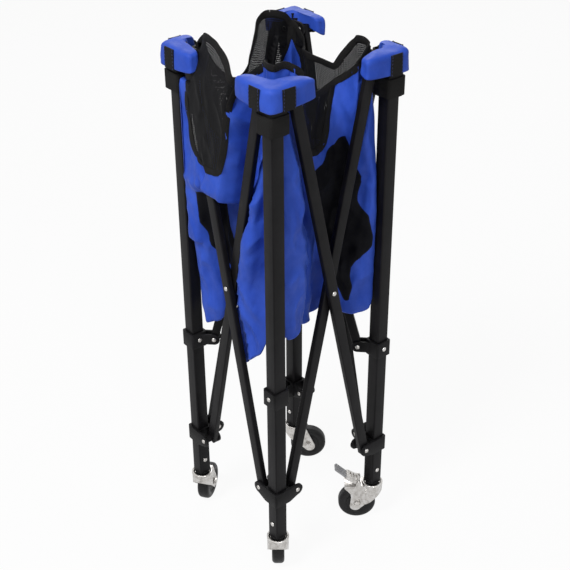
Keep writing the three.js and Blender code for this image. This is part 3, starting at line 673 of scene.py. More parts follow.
def lighter(text, share):
    """A hex colour moved towards white by a share, or towards black by a negative one."""
    channels = [int(text[start : start + 2], 16) for start in (1, 3, 5)]
    target = 255 if share > 0 else 0
    mixed = [round(c + (target - c) * abs(share)) for c in channels]
    return "#%02X%02X%02X" % tuple(mixed)


def woven(tree, pitch):
    """The height of a plain weave: two crossed sets of threads at a pitch in mm, by the cloth's UVs."""
    vector = coordinates(tree, 1.0, "UV")
    heights = []
    for direction in "XY":
        values = {"Scale": 1 / (pitch * MM * 20) * 2 * math.pi, "Distortion": 0.4, "Detail": 1.0}
        wave = add(tree, "ShaderNodeTexWave", values, {"Vector": vector}, bands_direction=direction)
        heights.append(wave.outputs["Fac"])
    return add(tree, "ShaderNodeMath", None, dict(enumerate(heights)), operation="MAXIMUM").outputs["Value"]


def plain_material(look, colours):
    """A material from its row of looks."""

    def links(tree):
        patches = grains(tree, *look.patches)
        height = grains(tree, *look.grain) if look.grain else patches
        return {
            "Base Color": ramp(tree, patches, getattr(colours, look.colour), look.tones),
            "Roughness": spread(tree, patches, *look.roughness),
            "Normal": bump(tree, woven(tree, look.weave) if look.weave else height, *look.bump),
        }

    values = {"Specular IOR Level": look.specular, "Metallic": look.metallic}
    return surface_material(look.name, links, values)


def powder_coated_steel(colours):
    """Sprayed and baked: a satin black with the orange-peel of powder paint, and faint handling scuffs."""

    def links(tree):
        scuffs = grains(tree, 7, 6.0, 0.7, (1, 1, 0.07))
        tone = ramp(tree, grains(tree, 60, 5.0, 0.6), colours.powder_coat, [(0.3, -0.12), (0.7, 0.05)])
        worn = ramp(tree, scuffs, None, [(0.62, "#000000"), (0.72, "#0E0E0E")])
        return {
            "Base Color": blend_colours(tree, 1.0, tone, worn, blend_type="ADD"),
            "Roughness": spread(tree, scuffs, 0.36, 0.5),
            "Normal": bump(tree, grains(tree, 1.4, 2.0), 0.18, 0.25),
        }

    return surface_material("powder_coated_steel", links, {"Specular IOR Level": 0.12})


def woven_nylon(colours):
    """Plain-woven nylon with a coated back: a bright blue with the soft sheen of filament yarn. Its real
    threads are 0.3 mm apart, too fine to show, so the weave is drawn at 1.1 mm."""

    def links(tree):
        clouds = grains(tree, 70, 4.0, 0.6)
        crumple = grains(tree, 5, 5.0, 0.6, (1, 0.5, 1), "UV")
        # The lining attribute colours the cloth black and less glossy. On the front-to-right side this is
        # black lining with the shade of the bag's inside painted into it. On the left-to-front side it is
        # painted shade alone, under the rolled lip.
        lining_and_shade_factor = add(tree, "ShaderNodeAttribute", attribute_name="lining").outputs["Fac"]
        edge = ramp(tree, lining_and_shade_factor, None, [(0.48, "#000000"), (0.52, "#FFFFFF")])
        blue = ramp(tree, clouds, colours.nylon, [(0.3, -0.1), (0.7, 0.06)])
        black = ramp(tree, clouds, colours.lining, [(0.3, -0.2), (0.7, 0.08)])
        fine = bump(tree, woven(tree, 1.1), 0.16, 0.2)
        return {
            "Base Color": blend_colours(tree, edge, blue, black),
            "Roughness": spread(tree, crumple, 0.46, 0.6),
            "Specular IOR Level": spread(tree, lining_and_shade_factor, 0.22, 0.04),
            "Normal": bump(tree, crumple, 0.35, 1.2, Normal=fine),
        }

    sheen = {"Sheen Weight": 0.08, "Sheen Roughness": 0.4, "Sheen Tint": hex_colour("#A9BCFF")}
    return surface_material("woven_nylon", links, sheen)


def material_of(finish):
    """The material of a finish, made once from the colours in the scene."""
    makers = {"steel": powder_coated_steel, "nylon": woven_nylon}
    name = LOOKS[finish].name if finish in LOOKS else makers[finish].__name__
    made = bpy.data.materials.get(name)
    if made:
        return made
    colours = bpy.context.scene.cart_colours
    return plain_material(LOOKS[finish], colours) if finish in LOOKS else makers[finish](colours)


# Repeats by Geometry Nodes


def node_group(name, fill, result, **sockets):
    """A geometry node tree with input sockets of these kinds, made once, which a function fills."""
    tree = bpy.data.node_groups.get(name)
    if not tree:
        tree = bpy.data.node_groups.new(name, "GeometryNodeTree")
        for socket, kind in sockets.items():
            tree.interface.new_socket(socket, in_out="INPUT", socket_type=f"NodeSocket{kind}")
        tree.interface.new_socket(result, in_out="OUTPUT", socket_type="NodeSocketGeometry")
        given = add(tree, "NodeGroupInput").outputs
        real = add(tree, "GeometryNodeRealizeInstances", None, {"Geometry": fill(tree, given)})
        links = {"Geometry": real.outputs["Geometry"], "Material": given["Material"]}
        painted = add(tree, "GeometryNodeSetMaterial", None, links)
        add(tree, "NodeGroupOutput", None, {result: painted.outputs["Geometry"]})
    return tree


def run_group(obj, tree, **given):
    """Runs a node tree on an object with its inputs, and keeps the mesh that it gives."""
    modifier = obj.modifiers.new(tree.name, "NODES")
    modifier.node_group = tree
    for item in tree.interface.items_tree:
        if item.name in given and item.in_out == "INPUT":
            modifier[item.identifier] = given[item.name]
    return finished(obj)


def fill_beads(tree, given):
    """Puts a small ellipsoid on each point, turned to the point's facing attribute."""
    ball = add(tree, "GeometryNodeMeshUVSphere", {"Rings": 8, "Radius": 1.0}, {"Segments": given["Sides"]})
    shape = {"X": given["Radius"], "Y": given["Radius"], "Z": given["Length"]}
    sizes = add(tree, "ShaderNodeCombineXYZ", None, shape)
    links = {"Geometry": ball.outputs["Mesh"], "Scale": sizes.outputs["Vector"]}
    bead = add(tree, "GeometryNodeTransform", None, links)
    smooth = add(tree, "GeometryNodeSetShadeSmooth", None, {"Geometry": bead.outputs["Geometry"]})
    facing = add(tree, "GeometryNodeInputNamedAttribute", {"Name": "facing"}, data_type="FLOAT_VECTOR")
    links = {"Vector": facing.outputs["Attribute"]}
    turned = add(tree, "FunctionNodeAlignRotationToVector", None, links, axis="Z")
    links = {
        "Points": given["Points"],
        "Instance": smooth.outputs["Geometry"],
        "Rotation": turned.outputs["Rotation"],
    }
    return add(tree, "GeometryNodeInstanceOnPoints", None, links).outputs["Instances"]


def beads(name, spots, radius, half_length, sides, finish, body):
    """A piece of beads at spots, each a place and a facing in metres, that rides on a body."""
    mesh = bpy.data.meshes.new(name)
    mesh.from_pydata([place for place, _ in spots], [], [])
    facings = mesh.attributes.new("facing", "FLOAT_VECTOR", "POINT")
    facings.data.foreach_set("vector", [value for _, facing in spots for value in facing])
    obj = keep(bpy.data.objects.new(name, mesh))
    sockets = {"Points": "Geometry", "Radius": "Float", "Length": "Float", "Sides": "Int"}
    tree = node_group("beads", fill_beads, "Beads", **sockets, Material="Material")
    run_group(obj, tree, Radius=radius, Length=half_length, Sides=sides, Material=material_of(finish))
    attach(obj, body)
    dress(obj, finish)
    return obj


def spots_from(place, pairs):
    """Places and facings in mm, in a local frame, brought to the cart's frame."""
    turn = place.to_3x3().normalized()
    return [(place @ Vector(point), turn @ Vector(facing)) for point, facing in pairs]


def fill_perforations(tree, given):
    """Opens a hole in every face of a sheet, and leaves its edges as yarn."""
    values = {"Offset Scale": 0.0, "Individual": True}
    rings = add(tree, "GeometryNodeExtrudeMesh", values, {"Mesh": given["Sheet"]})
    links = {"Geometry": rings.outputs["Mesh"], "Selection": rings.outputs["Top"], "Scale": given["Hole"]}
    scaled = add(tree, "GeometryNodeScaleElements", None, links, domain="FACE")
    links = {"Geometry": scaled.outputs["Geometry"], "Selection": rings.outputs["Top"]}
    return add(tree, "GeometryNodeDeleteGeometry", None, links, domain="FACE").outputs["Geometry"]


def perforate(obj, hole_share):
    sockets = {"Sheet": "Geometry", "Hole": "Float", "Material": "Material"}
    tree = node_group("perforations", fill_perforations, "Net", **sockets)
    return run_group(obj, tree, Hole=hole_share, Material=material_of("net"))


# Frame pieces


class CartStep:
    """What the building steps share: each builds its pieces from the sizes in the scene."""

    def execute(self, context):
        self.build(context.scene.cart_sizes)
        return {"FINISHED"}


class CART_OT_legs(CartStep, bpy.types.Operator):
    """Four upright legs of square steel tube"""

    bl_idname = "cart.legs"
    bl_label = "Leg tubes"

    def build(self, sizes):
        half = sizes.tube_side / MM / 2
        leg = steel_tube(half, half, sizes.tube_corner / MM, sizes.tube_wall / MM, TUBE_BOTTOM, TUBE_TOP)
        place_four(leg, "leg", corner_place, "leg_frame", "steel", "leg_tube")


def bar_bushes(ends_side, with_middle):
    """The plain bushes that fill a clevis beside the bar, and the washer between two crossing bars."""
    reach = sorted((ends_side * BAR_THICKNESS / 2, ends_side * (BAR_OFFSET + BORE_HALF - FIT_GAP)))
    shapes = [rod(BUSH_RADIUS, *reach, (0, height), "X") for height in (0, BAR_SPAN)]
    if with_middle:
        face = -BAR_THICKNESS / 2
        shapes.append(rod(BUSH_RADIUS, face - BAR_SIDE_GAP + FIT_GAP, face, (0, BAR_SPAN / 2), "X"))
    return soften(combine("UNION", *shapes), FINE_ROUND)


class CART_OT_bars(CartStep, bpy.types.Operator):
    """Eight crossed bars, two on each side, and the bushes in their brackets"""

    bl_idname = "cart.bars"
    bl_label = "Crossed bars"

    def build(self, sizes):
        halves = (BAR_THICKNESS / 2, BAR_WIDTH / 2)
        bar = steel_tube(*halves, BAR_CORNER, BAR_WALL, -BAR_END, BAR_SPAN + BAR_END)
        bushes = [bar_bushes(-1, True), bar_bushes(1, False)]
        for index in range(len(CORNERS)):
            for name, place, bush in zip(bar_names(index), bar_places(index), bushes):
                place_piece(bar, f"{name}_tube", place, name, "steel", name)
                place_piece(bush, f"{name}_bushes", place, name, "plastic")
        drop(bar, *bushes)


class CART_OT_hub_bars(CartStep, bpy.types.Operator):
    """Four inner bars from the middle brackets up to the hub"""

    bl_idname = "cart.hub_bars"
    bl_label = "Hub bars"

    def build(self, sizes):
        halves = (HUB_BAR_THICKNESS / 2, HUB_BAR_WIDTH / 2)
        bar = steel_tube(*halves, BAR_CORNER, BAR_WALL, -HUB_BAR_END, HUB_BAR_SPAN + HUB_BAR_END)
        place_four(bar, "hub_bar_tube", hub_bar_place, "hub_bar", "steel", "hub_bar")


def arm_pair(turn, height, reach=ARM_REACH, radius=EAR_RADIUS, below=EAR_DROP, gap=BORE_HALF, wall=EAR_WALL):
    """Two ears of a clevis from the leg's axis to a rounded tip, turned round the leg at a pivot's height."""
    low = -radius - below
    outline = [(0, low), (COLLAR_HALF, low), *arc(reach, 0, radius, -90, 90, 20), (0, radius)]
    place = Matrix.Translation((0, 0, height)) @ Matrix.Rotation(math.radians(turn), 4, "Z")
    return [moved(prism(outline, *span, "Y"), place) for span in ((-gap - wall, -gap), (gap, gap + wall))]


def bracket(low, high, bore_top, *additions):
    """A collar round the leg between two heights, with what is added to it, bored for the leg's tube."""
    outer = prism(rounded_box(COLLAR_HALF, COLLAR_HALF, BRACKET_CORNER), low, high)
    bore = prism(rounded_box(BORE_HALF, BORE_HALF, BORE_CORNER), low - CUT_PAST, bore_top)
    return combine("DIFFERENCE", combine("UNION", outer, *additions), bore)


def top_bracket():
    """A socket over the leg's top with two arms, and a boss on top that the cap rests on."""
    high = TOP_PIVOT + EAR_RADIUS
    boss = prism(rounded_box(TOP_BOSS_HALF, TOP_BOSS_HALF, TOP_BOSS_CORNER), high - 1, high + TOP_BOSS)
    arms = [*arm_pair(90, TOP_PIVOT), *arm_pair(180, TOP_PIVOT)]
    return bracket(TOP_PIVOT - TOP_SKIRT, high, high - TOP_PLATE, boss, *arms)


def slider_bracket():
    """A collar with two arms that slides on the leg."""
    high = LOW_PIVOT + EAR_RADIUS
    arms = [*arm_pair(90, LOW_PIVOT), *arm_pair(180, LOW_PIVOT)]
    return bracket(LOW_PIVOT - EAR_RADIUS - EAR_DROP, high, high + CUT_PAST, *arms)


def mid_bracket():
    """A collar riveted to the leg, with one arm towards the middle of the cart."""
    high = MID_PIVOT + MID_ABOVE
    arm = arm_pair(135, MID_PIVOT, MID_ARM_REACH, MID_EAR_RADIUS, 0, MID_EAR_HALF_GAP, MID_EAR_WALL)
    return bracket(MID_PIVOT - MID_BELOW, high, high + CUT_PAST, *arm)


class CART_OT_brackets(CartStep, bpy.types.Operator):
    """Moulded brackets: top sockets, middle collars and sliders, four of each"""

    bl_idname = "cart.brackets"
    bl_label = "Brackets"

    def build(self, sizes):
        bodies = {top_bracket: "leg_frame", mid_bracket: "leg_frame", slider_bracket: "slider"}
        for shape, body in bodies.items():
            node = shape.__name__
            template = soften(shape(), sizes.edge_round / MM)
            place_four(template, f"{node}_moulded", corner_place, body, "plastic", node)


def rivet_spots():
    """Every rivet head by the body that holds it."""
    spots = {}
    ways = (-1, 1)
    outside = BAR_THICKNESS / 2
    inside = outside - 2 * BAR_THICKNESS - BAR_SIDE_GAP
    crossing = [((face, 0, BAR_SPAN / 2), (way, 0, 0)) for face, way in ((outside, 1), (inside, -1))]
    leg_rivets = ((COLLAR_HALF, MID_PIVOT), (BORE_HALF, TUBE_BOTTOM + PLUG_RIVET_ABOVE))
    leg_pairs = [((0, way * out, height), (0, way, 0)) for way in ways for out, height in leg_rivets]
    hub_pairs = [((way * (MID_EAR_HALF_GAP + MID_EAR_WALL), 0, 0), (way, 0, 0)) for way in ways]
    for index, corner in enumerate(CORNERS):
        for bar, place, middle in zip(bar_names(index), bar_places(index), (-BAR_OFFSET, BAR_OFFSET)):
            heights = (0, BAR_SPAN)
            pairs = [((middle + way * COLLAR_HALF, 0, z), (way, 0, 0)) for z in heights for way in ways]
            spots[bar] = spots_from(place, pairs + (crossing if middle < 0 else []))
        spots[f"{corner}_leg_frame"] = spots_from(corner_place(index), leg_pairs)
        spots[f"{corner}_hub_bar"] = spots_from(hub_bar_place(index), hub_pairs)
    return spots


class CART_OT_rivets(CartStep, bpy.types.Operator):
    """Bright rivet heads at every pivot and bracket"""

    bl_idname = "cart.rivets"
    bl_label = "Rivets"

    def build(self, sizes):
        for body, spots in rivet_spots().items():
            beads(f"{body}_rivets", spots, sizes.rivet_radius, sizes.rivet_height, 20, "zinc", body)


# Casters


def fork_plan(half, radius, tail):
    angle = math.degrees(math.asin(half / radius))
    return [(tail, -half), (tail, half), *arc(0, 0, radius, angle, 360 - angle, 40)]


def fork_side(with_brake):
    """The side view of the fork: a nose in front, and behind the axle a tail where it carries a brake."""
    front = -CROWN_RADIUS - CUT_PAST
    waist, back = (FORK_WAIST, FORK_TAIL) if with_brake else ((), FORK_BACK)
    foot = arc(*FORK_FOOT, -130, 20, 14)
    return [(front, FORK_TOP - CROWN_NOSE), FORK_NOSE, *foot, *waist, (back, FORK_TOP), (front, FORK_TOP)]


def fork_shape(with_brake):
    """A fork bent from sheet: its crown and cheeks, its bearing race, and the brake's two lugs."""
    tail = FORK_TAIL if with_brake else FORK_BACK + TAIL_SPARE
    blank = prism(fork_plan(FORK_OUTER_HALF, CROWN_RADIUS, tail), 0, FORK_TOP)
    side = prism(fork_side(with_brake), -CROWN_RADIUS - 1, CROWN_RADIUS + 1, "Y")
    hollow_plan = fork_plan(FORK_HALF, CROWN_RADIUS - FORK_SHEET, tail + CUT_PAST)
    hollow = prism(hollow_plan, -CUT_PAST, FORK_TOP - FORK_SHEET)
    shape = combine("DIFFERENCE", combine("INTERSECT", blank, side), hollow)
    shape = combine("UNION", shape, lathe(RACE_PROFILE, 56))
    if with_brake:
        inner = PEDAL_HALF_WIDTH + FIT_GAP
        tip = arc(PEDAL_PIVOT_X, FORK_TOP + PEDAL_PIVOT_ABOVE, LUG_RADIUS, 0, 180, 12)
        foot = [(PEDAL_PIVOT_X + way * LUG_RADIUS, FORK_TOP - 2) for way in (-1, 1)]
        for span in ((-FORK_OUTER_HALF, -inner), (inner, FORK_OUTER_HALF)):
            shape = combine("UNION", shape, prism([*tip, *foot], *span, "Y"))
    return soften(shape, FINE_ROUND)


def wheel_shape():
    """A rubber tyre with a rounded tread, a step to its side wall, a dish and a raised hub."""
    tread = arc(WHEEL_RADIUS - TREAD_ROUND, WHEEL_HALF - TREAD_ROUND, TREAD_ROUND, 90, 0, 9)
    profile = [*WHEEL_PROFILE, *tread]
    mirrored = [(radius, -height) for radius, height in reversed(profile)]
    wheel = soften(lathe(profile + mirrored, 72, "Y"), WHEEL_ROUND)
    return moved(wheel, CASTER_TRAIL, 0, WHEEL_RADIUS)


def axle_shape():
    """The axle bolt's hexagonal head and nut, with a washer under each."""
    at = (CASTER_TRAIL, WHEEL_RADIUS)
    washer = AXLE_FACE + WASHER_THICKNESS
    end = AXLE_FACE + AXLE_HEAD
    middle = AXLE_FACE + AXLE_HEAD / 2
    shapes = [rod(AXLE_RADIUS, -middle, middle, at, "Y", 24)]
    rings = ((AXLE_HEAD_RADIUS, washer, end, 6), (WASHER_RADIUS, AXLE_FACE, washer, 32))
    for radius, inner, outer, sides in rings:
        shapes += [rod(radius, *span, at, "Y", sides) for span in ((-outer, -inner), (inner, outer))]
    return soften(combine("UNION", *shapes), TURNED_ROUND)


def neck_shape():
    """The black plug's domed neck, down to the race, with the pin that the fork turns on."""
    insert = prism(rounded_box(PLUG_HALF, PLUG_HALF, PLUG_CORNER), NECK_TOP - 1, TUBE_BOTTOM + PLUG_DEPTH)
    pin = rod(PIN_RADIUS, PIN_LOW, NECK_FOOT + 1)
    nut = rod(PIN_NUT_RADIUS, *PIN_NUT_SPAN, sides=6)
    return soften(combine("UNION", lathe(NECK_PROFILE, 48), insert, pin, nut), TURNED_ROUND)


def pedal_shapes():
    """The brake pedal, in the caster's frame: its pressed body with slots, and its ribbed grey tab."""
    body = prism(PEDAL_SIDE, -PEDAL_HALF_WIDTH, PEDAL_HALF_WIDTH, "Y")
    slots = [moved(prism(rounded_box(*PEDAL_SLOT), *PEDAL_SLOT_SPAN), place, 0, 0) for place in PEDAL_SLOTS]
    pin = rod(PEDAL_PIN_RADIUS, -AXLE_FACE, AXLE_FACE, (0, 0), "Y", 24)
    body = combine("UNION", combine("DIFFERENCE", body, *slots), pin)
    tab = moved(prism(rounded_box(*TAB_PLATE), -TAB_THICKNESS, 0), TAB_PLATE[0], 0, 0)
    ridges = [moved(prism(rounded_box(*TAB_RIDGE), -1, 1), place, 0, 0) for place in TAB_RIDGES]
    tab = combine("UNION", tab, *ridges)
    moved(tab, Matrix.Translation(TAB_HINGE) @ Matrix.Rotation(TAB_TILT, 4, "Y"))
    pivot = Matrix.Translation((PEDAL_PIVOT_X, 0, FORK_TOP + PEDAL_PIVOT_ABOVE))
    lift = pivot @ Matrix.Rotation(-PEDAL_LIFT - PEDAL_RAMP, 4, "Y")
    return soften(moved(body, lift), FINE_ROUND), soften(moved(tab, lift), FINE_ROUND)


class CART_OT_casters(CartStep, bpy.types.Operator):
    """Four swivel casters: forks, wheels, axles, necks, and the brake pedal on one"""

    bl_idname = "cart.casters"
    bl_label = "Casters"

    def build(self, sizes):
        forks = {with_brake: fork_shape(with_brake) for with_brake in (False, True)}
        for index, corner in enumerate(CORNERS):
            place = (caster_place(index), f"{corner}_caster")
            fork = forks[corner == BRAKE_CORNER]
            place_piece(fork, f"{corner}_caster_fork_pressed", *place, "zinc", f"{corner}_caster_fork")
        drop(*forks.values())
        place_four(axle_shape(), "caster_axle_bolt", caster_place, "caster", "zinc", "caster_axle")
        place_four(wheel_shape(), "caster_tyre", caster_place, "wheel", "rubber", "caster_wheel")
        place_four(neck_shape(), "caster_neck", corner_place, "leg_frame", "plastic", "caster_plug")
        body, tab = pedal_shapes()
        place = (caster_place(CORNERS.index(BRAKE_CORNER)), "brake_pedal")
        place_piece(body, "brake_pedal_body", *place, "zinc", "brake_pedal")
        place_piece(tab, "brake_pedal_tab", *place, "tab")
        drop(body, tab)


class CART_OT_hub(CartStep, bpy.types.Operator):
    """The hub that the inner bars carry"""

    bl_idname = "cart.hub"
    bl_label = "Hub"

    def build(self, sizes):
        template = keep(bpy.data.objects.new("hub_template", frame["nodes"]["hub"].data.copy()))
        moved(template, Matrix.Scale(1 / MM, 4))
        edit_shell(template, merge_points)
        edit_shell(template, merge_flat_faces)
        soften(template, sizes.edge_round / MM)
        place_piece(template, "hub_moulded", Matrix.Scale(MM, 4), "hub", "plastic", "hub")
        drop(template)


# Cloth of the bag's sides

# Heights, in mm, at which the fold lines of every side are placed
SIDE_LEVELS = (1000, 880, 740, 620, 480)
CLOTH_CORNER = 98
HEM_ROUND = 5
HEM_TURNED_UP = 16
PART_EDGE = 60
LINE_STEPS = 24
WRINKLES_START = (10, 44)
LEG_BLEND = (106, 62)
CROSS_BLEND = 58
BEHIND_BARS = 107
BESIDE_BARS = 140
BAR_CLEARANCE = 11.5
BAR_SLOPE = 8
UNDER_BRACKET = 103
WINDOW_POWER = 4
WINDOW_STEPS = 80
NET_HOLE_SHARE = 0.25
NET_CALM = 0.45
# How far soft folds, creases, crumples and fine wrinkles swing the cloth, and their sizes along it and up it
FOLD_SWING = 11
FOLD_SIZE = (46, 150)
CREASE_SWING = 12
CREASE_SIZE = (30, 64)
CREASE_LEAN = 30 / 160
CREASE_MEAN = 0.2
CRUMPLE_SWING = 2.2
CRUMPLE_SIZE = (11, 26)
FINE_SWING = 0.4
FINE_SIZE = (5, 9)
SIDE_SHIFT = 31.7
TAPE_HALF_WIDTH = 6
TAPE_HALF_THICKNESS = 1.1
TAPE_SMOOTHING = 10
# The roll of cloth that falls out over the left bar: how far out it hangs, and between which places it starts
# at its left end and at its top. Its right edge leans, and its lower edge runs down to the right.
LIP_OUT = 141
LIP_ROOM = 6
LIP_OVER_SHARE = 0.3
LIP_LEFT = (-110, -99)
LIP_TOP = (930, 1030)
LIP_RIGHT = (8, 30)
LIP_RIGHT_LEAN = 0.15
LIP_RIGHT_ZERO = 770 - 10 / LIP_RIGHT_LEAN
LIP_RIGHT_FADE = (-14, 8)
LIP_LOW = 738
LIP_LOW_FALL = 14
LIP_LOW_BETWEEN = (-60, 20)
LIP_LOW_FADE = 28
EARS_LOW = 946
EARS_FROM = 70
LEG_FACE = 109.4
# The ledge of cloth at the foot of the left column: between which heights it starts below and fades above,
# how far it stands out, and between which places it ends
LEDGE_LOW = (642, 651)
LEDGE_HIGH = (654, 712)
LEDGE_OUT = 9
LEDGE_END = (-76, -66)


class BagSide(NamedTuple):
    """One side of the bag, seen from outside, Y running from its first leg to its second.

    folds are the fold lines between the two corners, each a place along and out at every level. The hems give
    heights by the place along. The window of net has a middle, half widths to either side and a lowest point.
    lining is where the cloth is coloured black, as black lining with painted shade or as painted shade alone:
    heights, each with the places along between which it is coloured.
    """

    folds: tuple
    top_hem: tuple
    low_hem: tuple
    window_middle: float
    window_halves: tuple
    window_low: float
    lining: tuple = ()


BAG_SIDES = (
    BagSide(
        folds=(
            ((-92, 100), (-104, 112), (-107, 119), (-108, 121), (-107, 116)),
            ((-78, 103), (-86, 124), (-93, 128), (-95, 128), (-94, 124)),
            ((-60, 106), (-66, 124), (-66, 127), (-60, 127), (-66, 121)),
            ((-44, 100), (-52, 108), (-50, 108), (-42, 110), (-54, 106)),
            ((-30, 92), (-42, 84), (-42, 82), (-34, 84), (-44, 84)),
            ((-8, 86), (-26, 80), (-20, 92), (-16, 90), (-24, 84)),
            ((12, 76), (4, 68), (0, 72), (2, 70), (-2, 70)),
            ((28, 68), (24, 66), (24, 70), (24, 70), (22, 70)),
            ((48, 74), (44, 72), (52, 74), (44, 84), (46, 78)),
            ((66, 92), (64, 98), (78, 98), (60, 100), (66, 104)),
            ((80, 102), (82, 118), (92, 122), (80, 120), (84, 118)),
            ((92, 101), (103, 111), (108, 116), (109, 117), (109, 117)),
        ),
        top_hem=(
            (-98, 1008), (-80, 1010), (-60, 998), (-44, 980), (-20, 951), (4, 934), (28, 930), (48, 940),
            (68, 964), (84, 988), (98, 1000),
        ),
        low_hem=(
            (-98, 534), (-94, 528), (-78, 533), (-62, 540), (-48, 524), (-30, 513), (-10, 511), (12, 512),
            (38, 520), (56, 512), (72, 508), (90, 506), (102, 512), (109, 530),
        ),
        window_middle=0,
        window_halves=(56, 50),
        window_low=830,
        # Black lining in the deep fold, with the shade of the bag's inside painted into it
        lining=(
            (532, 56, 62), (575, 42, 66), (600, 34, 66), (612, 31, 70), (626, 28, 86), (641, 25, 97),
            (660, 21, 98), (690, 14, 90), (724, 8, 83), (772, -8, 84), (805, 22, 69), (848, 60, 61),
        ),
    ),
    BagSide(
        folds=(
            ((-92, 100), (-97, 112), (-100, 118), (-99, 116), (-97, 110)),
            ((-74, 103), (-80, 124), (-84, 128), (-80, 127), (-84, 120)),
            ((-52, 112), (-58, 116), (-60, 118), (-54, 114), (-60, 112)),
            ((-34, 95), (-40, 88), (-40, 84), (-34, 82), (-42, 86)),
            ((-16, 78), (-18, 92), (-14, 100), (-10, 104), (-18, 100)),
            ((8, 74), (6, 80), (8, 80), (12, 84), (6, 84)),
            ((28, 72), (26, 70), (26, 70), (30, 72), (26, 74)),
            ((46, 78), (44, 94), (46, 98), (52, 100), (46, 96)),
            ((64, 92), (62, 108), (66, 112), (72, 116), (66, 112)),
            ((80, 102), (82, 118), (86, 122), (90, 120), (86, 114)),
            ((92, 101), (96, 112), (99, 116), (101, 115), (98, 108)),
        ),
        top_hem=(
            (-98, 1000), (-82, 1004), (-62, 999), (-46, 986), (-35, 966), (-28, 948), (-8, 950), (12, 954),
            (34, 956), (54, 953), (74, 964), (98, 985),
        ),
        low_hem=(
            (-98, 556), (-84, 512), (-66, 497), (-44, 530), (-12, 512), (12, 540), (38, 546), (62, 508),
            (84, 500), (98, 548),
        ),
        window_middle=0,
        window_halves=(102, 102),
        window_low=806,
    ),
    BagSide(
        folds=(
            ((-92, 100), (-97, 112), (-100, 118), (-99, 116), (-97, 110)),
            ((-76, 103), (-82, 122), (-84, 126), (-82, 124), (-86, 118)),
            ((-54, 116), (-60, 120), (-62, 120), (-58, 118), (-62, 112)),
            ((-34, 110), (-42, 96), (-46, 90), (-40, 88), (-46, 90)),
            ((-14, 92), (-24, 82), (-24, 78), (-20, 80), (-26, 82)),
            ((6, 76), (0, 88), (0, 94), (2, 98), (-4, 96)),
            ((24, 68), (20, 76), (20, 80), (24, 80), (18, 84)),
            ((42, 76), (38, 74), (38, 74), (44, 72), (38, 76)),
            ((60, 92), (58, 102), (60, 106), (64, 108), (58, 106)),
            ((78, 103), (78, 120), (82, 124), (86, 124), (80, 118)),
            ((92, 101), (96, 113), (99, 118), (101, 117), (98, 109)),
        ),
        top_hem=(
            (-98, 985), (-85, 1001), (-65, 1009), (-39, 1003), (-13, 981), (6, 960), (21, 941), (36, 926),
            (50, 924), (66, 942), (82, 970), (98, 990),
        ),
        low_hem=(
            (-98, 566), (-86, 530), (-64, 520), (-44, 548), (-22, 560), (0, 536), (22, 560), (42, 572),
            (62, 540), (82, 524), (98, 556),
        ),
        window_middle=0,
        window_halves=(102, 102),
        window_low=800,
    ),
    BagSide(
        folds=(
            ((-92, 100), (-104, 114), (-108, 124), (-105, 117), (-102, 110)),
            ((-80, 104), (-90, 120), (-106, 134), (-93, 126), (-90, 119)),
            ((-62, 110), (-70, 122), (-76, 129), (-76, 126), (-64, 120)),
            ((-40, 114), (-46, 120), (-58, 118), (-60, 110), (-42, 112)),
            ((-18, 116), (-22, 118), (-46, 92), (-52, 84), (-34, 84)),
            ((4, 112), (4, 116), (-26, 92), (-36, 86), (-26, 72)),
            ((21, 98), (25, 104), (4, 82), (-16, 76), (-18, 80)),
            ((34, 82), (38, 84), (24, 84), (-6, 96), (-10, 104)),
            ((50, 78), (54, 80), (42, 112), (16, 120), (20, 126)),
            ((66, 88), (70, 94), (66, 120), (46, 122), (52, 124)),
            ((80, 98), (83, 100), (84, 92), (70, 98), (80, 116)),
            ((92, 101), (94, 106), (96, 92), (92, 92), (95, 106)),
        ),
        top_hem=(
            (-98, 990), (-84, 1006), (-68, 1017), (-50, 1021), (-32, 1018), (-14, 1009), (4, 994), (16, 976),
            (24, 968), (32, 978), (46, 994), (62, 1003), (80, 1007), (98, 1008),
        ),
        low_hem=(
            (-98, 500), (-90, 474), (-66, 482), (-44, 494), (-34, 516), (-26, 548), (-18, 524), (-10, 478),
            (6, 442), (18, 433), (34, 447), (54, 463), (76, 486), (98, 540),
        ),
        window_middle=-32,
        window_halves=(56, 62),
        window_low=804,
        # Painted shade under the rolled lip, coloured as black cloth; no lining shows here
        lining=(
            (560, -36, -20), (600, -50, -24), (615, -56, -22), (648, -66, -28), (672, -70, -38),
            (690, -72, -42), (726, -78, -48), (745, -80, -52),
        ),
    ),
)


def curve_point(a, b, c, d, t):
    """A point of the smooth curve from b to c, between a before them and d after them."""
    square = a * 2 - b * 5 + c * 4 - d
    cube = b * 3 - a - c * 3 + d
    return (b * 2 + (c - a) * t + square * t**2 + cube * t**3) / 2


def spline(points, place):
    """A smooth curve through points, at a place counted in points."""
    last = len(points) - 1
    place = min(max(place, 0), last)
    i = min(int(place), last - 1)
    return curve_point(points[max(i - 1, 0)], points[i], points[i + 1], points[min(i + 2, last)], place - i)


def closed_spline(points, samples):
    """Even steps round a smooth closed curve through points."""
    round_again = [*points[-1:], *points, *points[:2]]
    places = [step / samples * len(points) for step in range(samples)]
    return [curve_point(*round_again[int(place) : int(place) + 4], place - int(place)) for place in places]


def place_between(values, value):
    """Where a value lies in a rising or falling row of values, counted in values."""
    for number, (one, other) in enumerate(zip(values, values[1:])):
        share = (value - one) / (other - one)
        if share <= 1:
            return number + max(share, 0)
    return len(values) - 1


def height_along(hem, along):
    places, heights = zip(*hem)
    return spline(heights, place_between(places, along))


def smooth_step(values, start, end):
    share = np.clip((values - start) / (end - start), 0, 1)
    return share * share * (3 - 2 * share)


def side_lines(side):
    """A side's fold lines, with a straight one at either corner."""
    ends = [[Vector((way * CLOTH_CORNER, CLOTH_CORNER))] * len(SIDE_LEVELS) for way in (-1, 1)]
    return [ends[0], *[[Vector(pair) for pair in line] for line in side.folds], ends[1]]


